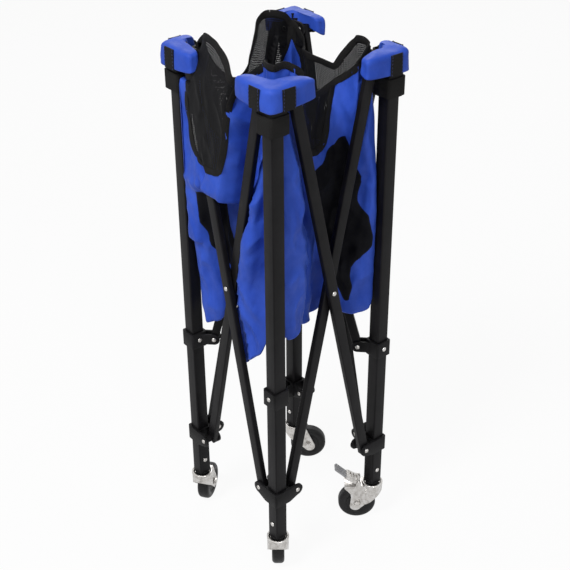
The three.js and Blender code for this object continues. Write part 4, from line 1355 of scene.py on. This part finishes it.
def even_columns(lines, pitch):
    """Places across the fold lines that lie one pitch apart, measured along the cloth."""
    places = [step / LINE_STEPS for step in range(LINE_STEPS * (len(lines) - 1) + 1)]
    lengths = [0.0]
    for before, after in zip(places, places[1:]):
        gaps = [(spline(row, after) - spline(row, before)).length for row in zip(*lines)]
        lengths.append(lengths[-1] + sum(gaps) / len(gaps))
    wanted = np.linspace(0, lengths[-1], round(lengths[-1] / pitch) + 1)
    return np.interp(wanted, lengths, places), wanted


def hem_turn():
    """The turned-up edge below the hem, from its inner end outwards: how far in, and how far up."""
    rows = [(2 * HEM_ROUND, rise) for rise in range(HEM_TURNED_UP, 0, -4)]
    for degrees in range(180, 0, -30):
        angle = math.radians(degrees)
        rows.append((HEM_ROUND * (1 - math.cos(angle)), -HEM_ROUND * math.sin(angle)))
    return rows


def bar_line(height):
    """How far from the middle the two crossed bars lie at a height: the outer bar, and the inner one."""
    outer = HALF_SPACING - ARM_REACH - (height - LOW_PIVOT) * math.tan(FOLD_ANGLE)
    return outer, -outer


def lip_share(along, height):
    """How far the roll of cloth below the net hangs out over the bar there, from 0 to 1, by place."""
    edge = np.clip((height - LIP_RIGHT_ZERO) * LIP_RIGHT_LEAN, *LIP_RIGHT)
    low = LIP_LOW - LIP_LOW_FALL * smooth_step(along, *LIP_LOW_BETWEEN)
    right = 1 - smooth_step(along, *(edge + fade for fade in LIP_RIGHT_FADE))
    sides = smooth_step(along, *LIP_LEFT) * right
    return sides * (1 - smooth_step(height, *LIP_TOP)) * smooth_step(height, low, low + LIP_LOW_FADE)


def ledge_share(along, height):
    """How far a ledge of cloth stands out at the foot of the left column, from 0 to 1, by place."""
    rows = smooth_step(height, *LEDGE_LOW) * (1 - smooth_step(height, *LEDGE_HIGH))
    return rows * (1 - smooth_step(along, *LEDGE_END))


def unit(vectors):
    """Rows of vectors brought to a length of 1."""
    return vectors / np.maximum(np.linalg.norm(vectors, axis=-1, keepdims=True), 1e-6)


def ripple(along, height, sizes, shift):
    """A noise with waves of these sizes along the cloth and up it."""
    return noise.noise(Vector((along / sizes[0], height / sizes[1], shift)))


def part_of(along):
    """0 near a side's first leg, 1 in its middle, 2 near its second leg."""
    return (along > -PART_EDGE) + 0 + (along > PART_EDGE)


class SideCloth:
    """The surface of one side of the bag, as rows and columns of points in the side's own frame."""

    def __init__(self, index, seed, pitch):
        self.index = index
        self.pitch = pitch
        self.side = BAG_SIDES[index]
        lines = side_lines(self.side)
        places, self.arc = even_columns(lines, pitch)
        columns = [[spline(row, place) for row in zip(*lines)] for place in places]
        tops = [height_along(self.side.top_hem, column[0].x) for column in columns]
        lows = [height_along(self.side.low_hem, column[-1].x) for column in columns]
        depth = sum(tops) / len(tops) - sum(lows) / len(lows)
        shares = np.linspace(0, 1, round(depth / pitch) + 1)
        turn = hem_turn()
        self.turned_rows = len(turn)
        self.grid = np.zeros((len(turn) + len(shares), len(columns), 3))
        for number, (column, top, low) in enumerate(zip(columns, tops, lows)):
            for row, share in enumerate(shares, len(turn)):
                height = low + (top - low) * share
                place = spline(column, place_between(SIDE_LEVELS, height))
                self.grid[row, number] = (place.y, place.x, height)
        if self.has_lip():
            out, along, height = self.axes()
            rolled = out + (LIP_OUT - out) * lip_share(along, height)
            self.grid[:, :, 0] = np.maximum(out, rolled) + LEDGE_OUT * ledge_share(along, height)
        self.fill_turn(turn)
        self.smooth_places = self.grid[:, :, 1:].copy()
        self.wrinkle(seed)
        self.clear_frame()
        self.normals = self.surface_normals()
        steps = np.linalg.norm(np.diff(self.grid, axis=1), axis=2)
        self.gathered_width = steps.sum(axis=1).mean()

    def axes(self):
        """The grid's places outwards, along the side and in height."""
        return (self.grid[:, :, axis] for axis in range(3))

    def has_lip(self):
        """The left-hand side alone has a roll of cloth that falls out over its bar."""
        return self.index == len(CORNERS) - 1

    def fill_turn(self, turn):
        hem = self.grid[len(turn)]
        run = unit(np.gradient(hem[:, :2], axis=0))
        inward = np.stack([-run[:, 1], run[:, 0]], axis=1)
        for row, (into, rise) in enumerate(turn):
            self.grid[row, :, :2] = hem[:, :2] + inward * into
            self.grid[row, :, 2] = hem[:, 2] + rise

    def surface_normals(self):
        return unit(np.cross(np.gradient(self.grid, axis=1), np.gradient(self.grid, axis=0)))

    def wrinkle(self, seed):
        """Moves the cloth along its normals: long soft folds, sharper creases and fine crumples."""
        normals = self.surface_normals()
        height = self.grid[:, :, 2]
        calms = np.where(height > self.window_edge(self.grid[:, :, 1]), NET_CALM, 1)
        ends = smooth_step(np.minimum(self.arc, self.arc[-1] - self.arc), *WRINKLES_START)
        shift = (seed + self.index) * SIDE_SHIFT
        for row, column in np.ndindex(height.shape):
            hem = max(row, self.turned_rows)
            along = self.arc[column]
            z = height[hem, column]
            soft = ripple(along, z, FOLD_SIZE, shift)
            crease = CREASE_MEAN - abs(ripple(along + z * CREASE_LEAN, z, CREASE_SIZE, shift + 9))
            crumple = ripple(along, z, CRUMPLE_SIZE, shift + 21)
            fine = ripple(along, z, FINE_SIZE, shift + 33)
            waves = FOLD_SWING * soft + CREASE_SWING * crease + CRUMPLE_SWING * crumple
            move = (waves + FINE_SWING * fine) * calms[row, column] * ends[column]
            self.grid[row, column] += normals[hem, column] * move

    def clear_frame(self):
        """Keeps the cloth behind the crossed bars, and inside the top brackets."""
        out, along, height = self.axes()
        limit = np.full(out.shape, float(BESIDE_BARS))
        for line in bar_line(height):
            room = smooth_step(np.abs(along - line), BAR_CLEARANCE, BAR_CLEARANCE + BAR_SLOPE)
            limit = np.minimum(limit, BEHIND_BARS + (BESIDE_BARS - BEHIND_BARS) * room)
        if self.has_lip():
            limit = np.where(lip_share(along, height) > LIP_OVER_SHARE, LIP_OUT + LIP_ROOM, limit)
        under = (height > EARS_LOW) & (np.abs(along) > EARS_FROM)
        self.grid[:, :, 0] = np.minimum(out, np.where(under, UNDER_BRACKET, limit))
        self.grid[:, :, 1] = np.clip(along, -LEG_FACE, LEG_FACE)

    def window_edge(self, along):
        """The height of the net's lower edge at a place along, which rises to the hem at either side."""
        halves = np.where(along < self.side.window_middle, *self.side.window_halves)
        share = np.abs(along - self.side.window_middle) / halves
        rise = (SIDE_LEVELS[0] - self.side.window_low) * share**WINDOW_POWER
        return np.where(share < 1, self.side.window_low + rise, 2 * SIDE_LEVELS[0])

    def lining_mask(self):
        """How far each point lies inside the area coloured black as lining and painted shade, 0.5 at its
        edge.
        """
        _, along, height = self.axes()
        if not self.side.lining:
            return np.zeros(along.shape)
        heights, lows, highs = zip(*self.side.lining)
        low = np.interp(height, heights, lows)
        high = np.interp(height, heights, highs)
        inside = np.minimum.reduce([along - low, high - along, height - heights[0], heights[-1] - height])
        return np.clip(0.5 + inside / (4 * self.pitch), 0, 1)

    def kinds(self):
        """Which cloth each face is cut from, and which part it is in, by its place before wrinkles."""
        places = self.smooth_places
        middles = (places[:-1, :-1] + places[1:, :-1] + places[:-1, 1:] + places[1:, 1:]) / 4
        along, height = middles[:, :, 0], middles[:, :, 1]
        return np.where(height > self.window_edge(along), "net", "nylon"), part_of(along)

    def mesh_of(self, name, chosen):
        """A mesh of the chosen faces, with the cloth's own coordinates, in metres, as its UV map."""
        rows, columns = self.grid.shape[:2]
        numbers = np.arange(rows * columns).reshape(rows, columns)
        corners = np.stack([numbers[:-1, :-1], numbers[:-1, 1:], numbers[1:, 1:], numbers[1:, :-1]], axis=2)
        faces = corners[chosen]
        used, renumbered = np.unique(faces, return_inverse=True)
        renumbered = renumbered.reshape(faces.shape)
        obj = mesh_object(name, self.grid.reshape(-1, 3)[used].tolist(), renumbered.tolist())
        mesh = obj.data
        flat = np.stack(np.meshgrid(self.arc * MM, np.arange(rows) * self.pitch * MM), axis=2)
        uv = mesh.uv_layers.new(name="UVMap")
        uv.data.foreach_set("uv", flat.reshape(-1, 2)[used][renumbered.reshape(-1)].reshape(-1))
        # Where the cloth is coloured black, as lining and as painted shade
        lining_and_shade_factor = mesh.attributes.new("lining", "FLOAT", "POINT")
        lining_and_shade_factor.data.foreach_set("value", self.lining_mask().reshape(-1)[used])
        mesh.shade_smooth()
        mesh.normals_split_custom_set_from_vertices(self.normals.reshape(-1, 3)[used].tolist())
        return obj

    def on_grid(self, row, column):
        """A point and its normal at a place counted in rows and columns."""
        i, j = (min(max(int(place), 0), size - 2) for place, size in zip((row, column), self.grid.shape))
        t, u = row - i, column - j
        shares = np.outer((1 - t, t), (1 - u, u))[:, :, None]
        corners = [field[i : i + 2, j : j + 2] for field in (self.grid, self.normals)]
        point, normal = (Vector((field * shares).sum(axis=(0, 1))) for field in corners)
        return point, normal.normalized()

    def find(self, along, height):
        """The first place in rows and columns that lay at this place along and height before wrinkles."""
        rows, columns = self.grid.shape[:2]
        row = rows // 2
        for _ in range(3):
            column = self.first_column(min(int(row), rows - 1), along)
            heights = self.smooth_places[self.turned_rows :, min(int(column), columns - 1), 1]
            row = float(np.interp(height, heights, np.arange(self.turned_rows, rows)))
        return row, column

    def first_column(self, row, along):
        places = self.smooth_places[row, :, 0]
        for j, (before, after) in enumerate(zip(places, places[1:])):
            if before <= along < after:
                return j + (along - before) / (after - before)
        return len(places) - 1 if along > 0 else 0

    def hem_route(self):
        top = self.grid.shape[0] - 1
        return [self.on_grid(top, column / 2) for column in range(2 * self.grid.shape[1] - 1)]

    def window_route(self):
        """Points round the window's edge, down one side and up the other."""
        before, after = self.side.window_halves
        route = []
        for step in range(-WINDOW_STEPS, WINDOW_STEPS + 1):
            half = before if step < 0 else after
            along = self.side.window_middle + half * math.sin(math.pi / 2 * step / (WINDOW_STEPS + 1))
            height = float(self.window_edge(np.array(along)))
            if height < height_along(self.side.top_hem, along):
                route.append(self.on_grid(*self.find(along, height)))
        return route


def smoothed(values):
    for _ in range(TAPE_SMOOTHING):
        inner = [(a + b * 2 + c) / 4 for a, b, c in zip(values, values[1:], values[2:])]
        values = [values[0], *inner, values[-1]]
    return values


def tape(route, half_width, half_thickness):
    """A flat band that follows a route of points and normals, its section closed all round."""
    points, normals = (smoothed(values) for values in zip(*route))
    section = rounded_box(half_width, half_thickness, half_thickness * 0.9, 2)
    vertices = []
    flat = []
    run = 0.0
    for number, (point, normal) in enumerate(zip(points, normals)):
        ahead = points[min(number + 1, len(points) - 1)] - points[max(number - 1, 0)]
        across = normal.cross(ahead).normalized()
        lift = ahead.cross(across).normalized()
        run += (point - points[max(number - 1, 0)]).length
        for wide, thick in section:
            vertices.append(point + across * wide + lift * thick)
            flat.append((run * MM, wide * MM))
    count = len(section)
    ends = [tuple(reversed(range(count))), tuple(range(len(vertices) - count, len(vertices)))]
    obj = mesh_object("tape", vertices, band_faces(count, len(points)) + ends)
    uv = obj.data.uv_layers.new(name="UVMap")
    for loop in obj.data.loops:
        uv.data[loop.index].uv = flat[loop.vertex_index]
    edit_shell(obj, turn_out)
    shade(obj, CLOTH_SMOOTH_ANGLE)
    return obj


def joined(name, pieces):
    """One mesh of several, with the name of the whole."""
    whole = bmesh.new()
    for piece in pieces:
        whole.from_mesh(piece.data)
    mesh = bpy.data.meshes.new(name)
    whole.to_mesh(mesh)
    whole.free()
    drop(*pieces)
    obj = keep(bpy.data.objects.new(name, mesh))
    shade(obj, CLOTH_SMOOTH_ANGLE)
    return obj


def cut_at_parts(route):
    """A route split where the cloth passes from one pair of bodies to the next."""
    parts = [[], [], []]
    for point, normal in route:
        parts[part_of(point.y)].append((point, normal))
    for before, after in zip(parts, parts[1:]):
        if before and after:
            before.append(after[0])
    return parts


def side_bodies(index):
    """The pairs of bodies that a side's three parts lie between, with two places along the side for each
    part.
    """
    first, second = (f"{corner}_leg_frame" for corner in side_names(index))
    outer, inner = bar_names(index)
    leg_side, bar_side = LEG_BLEND
    return (
        (first, outer, -leg_side, -bar_side),
        (outer, inner, -CROSS_BLEND, CROSS_BLEND),
        (inner, second, bar_side, leg_side),
    )


def hang_between(obj, index, part):
    """Puts a cloth piece in its side's place; where no joint links the two bodies of its part it rides on a
    bar of that part, and otherwise it is left unattached.
    """
    place = side_place(index)
    obj.data.transform(place)
    one, other, start, end = side_bodies(index)[part]
    if any({one, other} == {joint["parent"], joint["child"]} for joint in frame["joints"]):
        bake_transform(obj)
    else:
        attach(obj, one if one.endswith("bar") else other)


def bound_edges(name, *routes):
    """Black binding tape along the edges that a part of a side has."""
    bands = [tape(route, TAPE_HALF_WIDTH, TAPE_HALF_THICKNESS) for route in routes if len(route) > 1]
    binding = joined(name, bands)
    dress(binding, "webbing")
    return binding


def declare_cloth(piece, kind):
    """Opens holes in a piece of net; other pieces are left as they are."""
    if kind == "net":
        perforate(piece, NET_HOLE_SHARE)


class CART_OT_bag_sides(CartStep, bpy.types.Operator):
    """Four gathered sides of nylon with windows of net, and their bound edges"""

    bl_idname = "cart.bag_sides"
    bl_label = "Bag sides"

    def build(self, sizes):
        for index in range(len(CORNERS)):
            self.build_side(index, sizes)

    def build_side(self, index, sizes):
        node = "{}_{}_bag_side".format(*side_names(index))
        cloth = SideCloth(index, sizes.wrinkle_seed, sizes.net_pitch / MM)
        kinds, parts = cloth.kinds()
        routes = zip(cut_at_parts(cloth.hem_route()), cut_at_parts(cloth.window_route()))
        for part, (part_name, edges) in enumerate(zip(("first", "middle", "second"), routes)):
            name = f"{node}_{part_name}"
            binding = bound_edges(f"{name}_binding", *edges)
            hang_between(binding, index, part)
            for kind, bands in (("nylon", [binding]), ("net", [])):
                chosen = (kinds == kind) & (parts == part)
                if chosen.any():
                    piece = cloth.mesh_of(f"{name}_{kind}", chosen)
                    dress(piece, kind, [node])
                    declare_cloth(piece, kind)
                    hang_between(piece, index, part)


# Caps, straps and floor of the bag

CAP_WALL = 25
CAP_CROWN = 3.5
CAP_EDGE = 6
CAP_HEM = 8
CAP_FLARE = 1.2
CAP_SAMPLES = 112
CAP_CENTRE = Vector((-5, 5))
CAP_SKIRT_ROWS = 12
# How far each cap reaches along the side before its corner, and along the side after it
CAP_REACHES = ((66, 68), (70, 34), (62, 46), (38, 62))
CAP_TOP_SHARES = (0.22, 0.42, 0.6, 0.74)
# The rolled edge between top and skirt: how far in from the outline, and how far below the top
CAP_ROLL = ((6, 0.4), (3.6, 1.1), (1.8, 2.5), (0.6, 4.3), (0, 6.6))
ROLL_REACH = 28
# The turned-in hem inside the skirt: how far in, and how far above the skirt's lower edge
CAP_TURN = ((0.8, -0.9), (1.8, 0.4), (2.2, CAP_HEM / 2), (2.2, CAP_HEM))
# Dents and crumples of a cap: their size across and in height, how far they move it sideways and up, and how
# far below the top they reach their full size
CAP_DENTS = ((24, 30), (2.4, 2.2))
CAP_CRUMPLES = ((9, 12), (0.7, 0.6))
CAP_DENTS_BELOW = 12
CAP_CALM_SHARE = 0.6
STRIP_HALF_WIDTH = 13
STRIP_HALF_THICKNESS = 1.0
STRIP_MIDDLE = 11
STRIP_LOW = 960
STRIP_WALL = CAP_WALL + 1.9
STRIP_TOP = CAP_HIGH - 1.6
STRIP_TURNS = (15, 30)
STITCH_INSET = 2
STITCH_SPACING = 1.35
STITCH_RADIUS = 0.45
STRAP_LOW = 918
STRAP_HIGH = 950.5
STRAP_INNER_HALF = 17.1
STRAP_THICKNESS = 2.6
STRAP_CORNER = 5.5
STRAP_ROUND = 0.7
LAP_PLATE = (11, 1.4, 1.2)
LAP_PLACE = -4
LAP_OUT = 0.6


def cap_outline(before, after):
    """Points round a cap seen from above, each with how deep its skirt hangs there."""
    wall = CAP_WALL
    points = [
        (-before, -13, 29),
        (-before + 3, -22, 31),
        (-before / 2 - 6, -wall, 33),
        (0, -wall, 35),
        (17, -wall + 2.4, 36),
        (wall - 2.4, -17, 36),
        (wall, 0, 35),
        (wall, after / 2 + 6, 33),
        (22, after - 3, 31),
        (13, after, 29),
        (3, after - 4, 22),
        (0, after / 2, 17),
        (-4, 16, 15),
        (-16, 4, 15),
        (-before / 2, 0, 17),
        (-before + 4, -3, 22),
    ]
    return closed_spline([Vector(point) for point in points], CAP_SAMPLES)


def cap_rings(before, after, seed):
    """Rings of points from the middle of a cap's top to the hem inside its skirt."""
    top = CAP_HIGH - CAP_CROWN
    low_edge = CAP_ROLL[-1][1]
    columns = []
    for p in cap_outline(before, after):
        reach = (p.xy - CAP_CENTRE).length
        away = (p.xy - CAP_CENTRE).normalized()
        rows = [(share, 0) for share in CAP_TOP_SHARES]
        rows += [(1 - inset / max(reach, ROLL_REACH), down) for inset, down in CAP_ROLL]
        column = []
        for share, down in rows:
            column.append((CAP_CENTRE.lerp(p.xy, share), top + CAP_CROWN * (1 - share**2) - down))
        for row in range(1, CAP_SKIRT_ROWS + 1):
            share = row / CAP_SKIRT_ROWS
            column.append((p.xy + away * (CAP_FLARE * share), top - low_edge - (p.z - low_edge) * share))
        column += [(p.xy + away * (CAP_FLARE - into), top - p.z + up) for into, up in CAP_TURN]
        columns.append([crumpled(xy, z, seed) for xy, z in column])
    return list(zip(*columns))


def crumpled(xy, z, seed):
    """A point of a cap moved a little, as cloth over a hard corner lies."""
    sideways = up = 0
    for shift, ((across, high), (out, lift)) in ((seed, CAP_DENTS), (seed + 40, CAP_CRUMPLES)):
        swing = noise.noise(Vector((xy.x / across, xy.y / across, z / high + shift)))
        sideways += swing * out
        up += swing * lift
    down = min(max((CAP_HIGH - z) / CAP_DENTS_BELOW, 0), 1)
    xy = xy + (xy - CAP_CENTRE).normalized() * sideways * down
    return (*xy, z + up * (1 - down * CAP_CALM_SHARE))


def unroll(obj, uv_of):
    """Gives a mesh in mm its UVs by a function of each point, its place across and whether it stands."""
    flat = obj.data.uv_layers.new(name="UVMap")
    for polygon in obj.data.polygons:
        for loop in polygon.loop_indices:
            point = obj.data.vertices[obj.data.loops[loop].vertex_index].co
            across = point.y if abs(polygon.normal.x) > abs(polygon.normal.y) else point.x
            flat.data[loop].uv = Vector(uv_of(point, across, abs(polygon.normal.z) < 0.5)) * MM
    return obj


def ringed_mesh(rings, middle):
    """A sheet from rings of points round a middle point."""
    count = len(rings[0])
    vertices = [middle, *[point for ring in rings for point in ring]]
    faces = [(0, 1 + i, 1 + (i + 1) % count) for i in range(count)]
    faces += [(1 + a, 1 + d, 1 + c, 1 + b) for a, b, c, d in band_faces(count, len(rings))]
    obj = mesh_object("rings", vertices, faces)
    unroll(obj, lambda point, across, upright: (across, point.z) if upright else point.xy)
    obj.data.shade_smooth()
    return obj


def strip_route(mirrored):
    """The way of a webbing strip up a cap's outer face and onto its top, with the way out at each point."""
    steps = [((STRIP_WALL, STRIP_LOW + 6 * step), (1, 0)) for step in range(6)]
    for degrees in STRIP_TURNS:
        level, up = math.cos(math.radians(degrees)), math.sin(math.radians(degrees))
        steps.append(((STRIP_WALL - CAP_EDGE * (1 - level), STRIP_TOP - CAP_EDGE * (1 - up)), (level, up)))
    turn = Matrix.Rotation(-math.pi / 2, 3, "Z") if mirrored else Matrix.Identity(3)
    middle = Vector((0, -STRIP_MIDDLE if mirrored else STRIP_MIDDLE, 0))
    return [
        (turn @ (Vector((out, 0, height)) + middle), turn @ Vector((level, 0, up)))
        for (out, height), (level, up) in steps
    ]


def strip_stitches(mirrored, pitch):
    """Where the stitches along a strip's two edges lie, and which way each runs."""
    pairs = []
    route = strip_route(mirrored)
    sideways = Vector((1, 0, 0)) if mirrored else Vector((0, 1, 0))
    for edge in (STITCH_INSET - STRIP_HALF_WIDTH, STRIP_HALF_WIDTH - STITCH_INSET):
        for (point, normal), (ahead, _) in zip(route, route[1:]):
            run = ahead - point
            count = max(1, round(run.length / pitch))
            for number in range(count):
                lift = sideways * edge + normal * (STRIP_HALF_THICKNESS + 0.1)
                pairs.append((point + run * ((number + 0.5) / count) + lift, run.normalized()))
    return pairs


def strap_shape():
    """A band of webbing round the top bracket, its lap and seam on the inner side."""
    half = STRAP_INNER_HALF + STRAP_THICKNESS
    band = tube(half, half, STRAP_CORNER, STRAP_THICKNESS, STRAP_LOW, STRAP_HIGH)
    lap = moved(prism(rounded_box(*LAP_PLATE), STRAP_LOW + 1, STRAP_HIGH - 1), LAP_PLACE, half + LAP_OUT, 0)
    whole = soften(combine("UNION", band, lap), STRAP_ROUND)
    return unroll(whole, lambda point, across, upright: (point.z, across))


class CART_OT_caps(CartStep, bpy.types.Operator):
    """Blue caps over the leg tops, with their black webbing strips, and the straps below them"""

    bl_idname = "cart.caps"
    bl_label = "Corner caps"

    def build(self, sizes):
        for index, corner in enumerate(CORNERS):
            self.build_cap(index, f"{corner}_cap", f"{corner}_leg_frame", sizes)
        place_four(strap_shape(), "leg_strap_webbing", corner_place, "leg_frame", "webbing", "leg_strap")

    def build_cap(self, index, name, body, sizes):
        corner = CORNERS[index]
        place = corner_place(index)
        before, after = CAP_REACHES[index]
        rings = cap_rings(before, after, sizes.wrinkle_seed + index * 5)
        cloth = ringed_mesh(rings, (*CAP_CENTRE, CAP_HIGH + 0.5))
        cap = place_piece(cloth, f"{name}_cloth", place, body, "nylon", f"{corner}_corner_cap")
        both = [False, True]
        bands = [tape(strip_route(mirrored), STRIP_HALF_WIDTH, STRIP_HALF_THICKNESS) for mirrored in both]
        strips_shape = joined("strips", bands)
        strips = place_piece(strips_shape, f"{name}_strips", place, body, "webbing")
        pitch = sizes.stitch_length / MM * STITCH_SPACING
        spots = spots_from(place, [pair for mirrored in both for pair in strip_stitches(mirrored, pitch)])
        radius = STITCH_RADIUS * MM
        stitches = beads(f"{name}_stitches", spots, radius, sizes.stitch_length / 2, 6, "thread", body)
        drop(cloth, strips_shape)


FLOOR_TOP = 865.5
FLOOR_LOW = 700
HUB_COVER = 46
# The flat crown over the hub: rings by their radius and how far below the top they lie
FLOOR_CROWN = ((12, 0), (24, 0.3), (34, 1), (40, 2.4), (44, 5), (HUB_COVER, 9))
FLOOR_SAG = 8
BAR_COVER = 10
FLOOR_SAMPLES = 112
FLOOR_ROWS = 30
# The floor's slack waves: how many pass round it, their height, and how far they move it out and up
FLOOR_WAVES = 2.2
FLOOR_WAVE_HEIGHT = 60
FLOOR_SWING = 3.5
FLOOR_LIFT = 1.2


def floor_rings(seed):
    """Rings of the bag's floor: a flat crown on the hub, then ridges over the inner bars, slack between."""
    rows = [(radius, radius, FLOOR_TOP - below) for radius, below in FLOOR_CROWN]
    start = rows[-1][2]
    for row in range(1, FLOOR_ROWS + 1):
        share = row / FLOOR_ROWS
        height = start + (FLOOR_LOW - start) * share
        bar = HUB_PIVOT_RADIUS + (HUB_PIVOT - height) * math.tan(HUB_BAR_LEAN) + BAR_COVER
        hollow = HUB_COVER - FLOOR_SAG * math.sin(math.pi * share) - 2 * share
        rows.append((max(HUB_COVER, bar), hollow, height))
    angles = [2 * math.pi * step / FLOOR_SAMPLES for step in range(FLOOR_SAMPLES)]
    return [[floor_point(*row, angle, seed) for angle in angles] for row in rows]


def floor_point(ridge, hollow, height, angle, seed):
    """A point of the floor, which reaches out to a ridge over each bar and to a hollow between two."""
    share = abs(math.sin(2 * angle)) ** 3
    radius = hollow + (ridge - hollow) * share
    way = Vector((math.cos(angle), math.sin(angle)))
    drift = noise.noise(Vector((*way * FLOOR_WAVES, height / FLOOR_WAVE_HEIGHT + seed)))
    radius += drift * FLOOR_SWING * min(1, radius / HUB_COVER) * (1 - share)
    return (*way * radius, height + drift * FLOOR_LIFT)


class CART_OT_bag_floor(CartStep, bpy.types.Operator):
    """The floor of the bag, lifted by the hub, with ridges over the inner bars"""

    bl_idname = "cart.bag_floor"
    bl_label = "Bag floor"

    def build(self, sizes):
        tent = ringed_mesh(floor_rings(sizes.wrinkle_seed), (0, 0, FLOOR_TOP))
        place = standing_place(MIDDLE, 0)
        piece = place_piece(tent, "bag_floor_cloth", place, "hub", "nylon", "bag_floor")
        drop(tent)


# Stage

CAMERA_PLACE = (1.405, -1.156, 1.635)
CAMERA_TURN = math.radians(50.77)
CAMERA_DROP = math.radians(31.36)
CAMERA_ROLL = math.radians(-0.41)
SENSOR = 36
LENS = 1150.9 / 570 * SENSOR
LAMP_TARGET = Vector((0, 0, 0.55))
# Each lamp's place and size in metres, and its power in watts
LAMPS = {
    "key_lamp": ((0.4, -2.0, 3.3), 0.8, 78),
    "fill_lamp": ((2.9, -0.9, 2.3), 0.8, 24),
    "rim_lamp": ((-2.2, 1.9, 2.4), 1.6, 26),
}
WORLD_LIGHT = 0.09
GLOW_SHARE = 0.94
FLOOR_HALF = 12


def camera_matrix():
    right = Vector((math.cos(CAMERA_TURN), math.sin(CAMERA_TURN), 0))
    level = Vector((-math.sin(CAMERA_TURN), math.cos(CAMERA_TURN), 0))
    ahead = level * math.cos(CAMERA_DROP) + Vector((0, 0, -math.sin(CAMERA_DROP)))
    up = right.cross(ahead)
    turned_right = right * math.cos(CAMERA_ROLL) + up * math.sin(CAMERA_ROLL)
    turned_up = up * math.cos(CAMERA_ROLL) - right * math.sin(CAMERA_ROLL)
    matrix = Matrix((turned_right, turned_up, -ahead)).transposed().to_4x4()
    matrix.translation = Vector(CAMERA_PLACE)
    return matrix


def seen_directly(tree):
    """1 for rays from the eye, straight, mirrored or through glass, and 0 for rays that only light."""
    rays = add(tree, "ShaderNodeLightPath").outputs
    seen = rays["Is Camera Ray"]
    for kind in ("Is Glossy Ray", "Is Transmission Ray"):
        either = add(tree, "ShaderNodeMath", None, {0: seen, 1: rays[kind]}, operation="MAXIMUM")
        seen = either.outputs["Value"]
    return seen


def studio_world():
    world = bpy.data.worlds.new("studio")
    bpy.context.scene.world = world
    tree = empty_tree(world)
    values = {"To Min": WORLD_LIGHT, "To Max": 1.0}
    level = add(tree, "ShaderNodeMapRange", values, {"Value": seen_directly(tree)}).outputs["Result"]
    light = add(tree, "ShaderNodeBackground", {"Color": (1, 1, 1, 1)}, {"Strength": level})
    add(tree, "ShaderNodeOutputWorld", None, {"Surface": light.outputs["Background"]})


def studio_floor():
    """A wide white floor that glows to white where it is seen, and keeps part of the shadows."""
    corners = [(x * FLOOR_HALF, y * FLOOR_HALF, 0) for x, y in ((-1, -1), (1, -1), (1, 1), (-1, 1))]
    floor = mesh_object("studio_floor", corners, [(0, 1, 2, 3)])
    material = bpy.data.materials.new("studio_floor")
    tree = empty_tree(material)
    diffuse = add(tree, "ShaderNodeBsdfDiffuse", {"Color": hex_colour("#F4F4F4")})
    glow = add(tree, "ShaderNodeEmission", {"Color": (1, 1, 1, 1), "Strength": 1.0})
    share = add(tree, "ShaderNodeMath", {1: GLOW_SHARE}, {0: seen_directly(tree)}, operation="MULTIPLY")
    links = {0: share.outputs["Value"], 1: diffuse.outputs["BSDF"], 2: glow.outputs["Emission"]}
    mixed = add(tree, "ShaderNodeMixShader", None, links)
    add(tree, "ShaderNodeOutputMaterial", None, {"Surface": mixed.outputs["Shader"]})
    floor.data.materials.append(material)


def soft_lamp(name, place, size, power):
    light = bpy.data.lights.new(name, "AREA")
    light.energy = power
    light.size = size
    lamp = keep(bpy.data.objects.new(name, light))
    lamp.location = place
    lamp.rotation_euler = (LAMP_TARGET - Vector(place)).to_track_quat("-Z", "Y").to_euler()


class CART_OT_stage(CartStep, bpy.types.Operator):
    """White floor, soft studio lamps and the camera"""

    bl_idname = "cart.stage"
    bl_label = "Stage"

    def build(self, sizes):
        scene = bpy.context.scene
        scene.view_settings.view_transform = "Standard"
        studio_world()
        studio_floor()
        for name, settings in LAMPS.items():
            soft_lamp(name, *settings)
        camera = bpy.data.cameras.new("photo_camera")
        camera.sensor_width = SENSOR
        camera.lens = LENS
        camera.clip_end = 60
        eye = keep(bpy.data.objects.new("photo_camera", camera))
        eye.matrix_world = camera_matrix()
        scene.camera = eye


OPERATORS = (
    CART_OT_stage,
    CART_OT_legs,
    CART_OT_bars,
    CART_OT_hub_bars,
    CART_OT_brackets,
    CART_OT_rivets,
    CART_OT_casters,
    CART_OT_hub,
    CART_OT_bag_sides,
    CART_OT_caps,
    CART_OT_bag_floor,
)


class CART_PT_panel(bpy.types.Panel):
    """Lists the cart's sizes, colours and building steps."""

    bl_idname = "CART_PT_panel"
    bl_label = "Ball cart"
    bl_space_type = "VIEW_3D"
    bl_region_type = "UI"
    bl_category = "Ball cart"

    def draw(self, context):
        for group in (context.scene.cart_sizes, context.scene.cart_colours):
            box = self.layout.box()
            for name in group.bl_rna.properties.keys():
                if name not in ("name", "rna_type"):
                    box.prop(group, name)
        for operator in OPERATORS:
            self.layout.operator(operator.bl_idname)


CLASSES = (CartSizes, CartColours, *OPERATORS, CART_PT_panel)


def register():
    for cls in CLASSES:
        bpy.utils.register_class(cls)
    bpy.types.Scene.cart_sizes = PointerProperty(type=CartSizes)
    bpy.types.Scene.cart_colours = PointerProperty(type=CartColours)


def unregister():
    del bpy.types.Scene.cart_colours
    del bpy.types.Scene.cart_sizes
    for cls in reversed(CLASSES):
        bpy.utils.unregister_class(cls)


def main():
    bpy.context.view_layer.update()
    register()
    for operator in OPERATORS:
        namespace, name = operator.bl_idname.split(".")
        getattr(getattr(bpy.ops, namespace), name)()


if __name__ == "__main__":
    main()
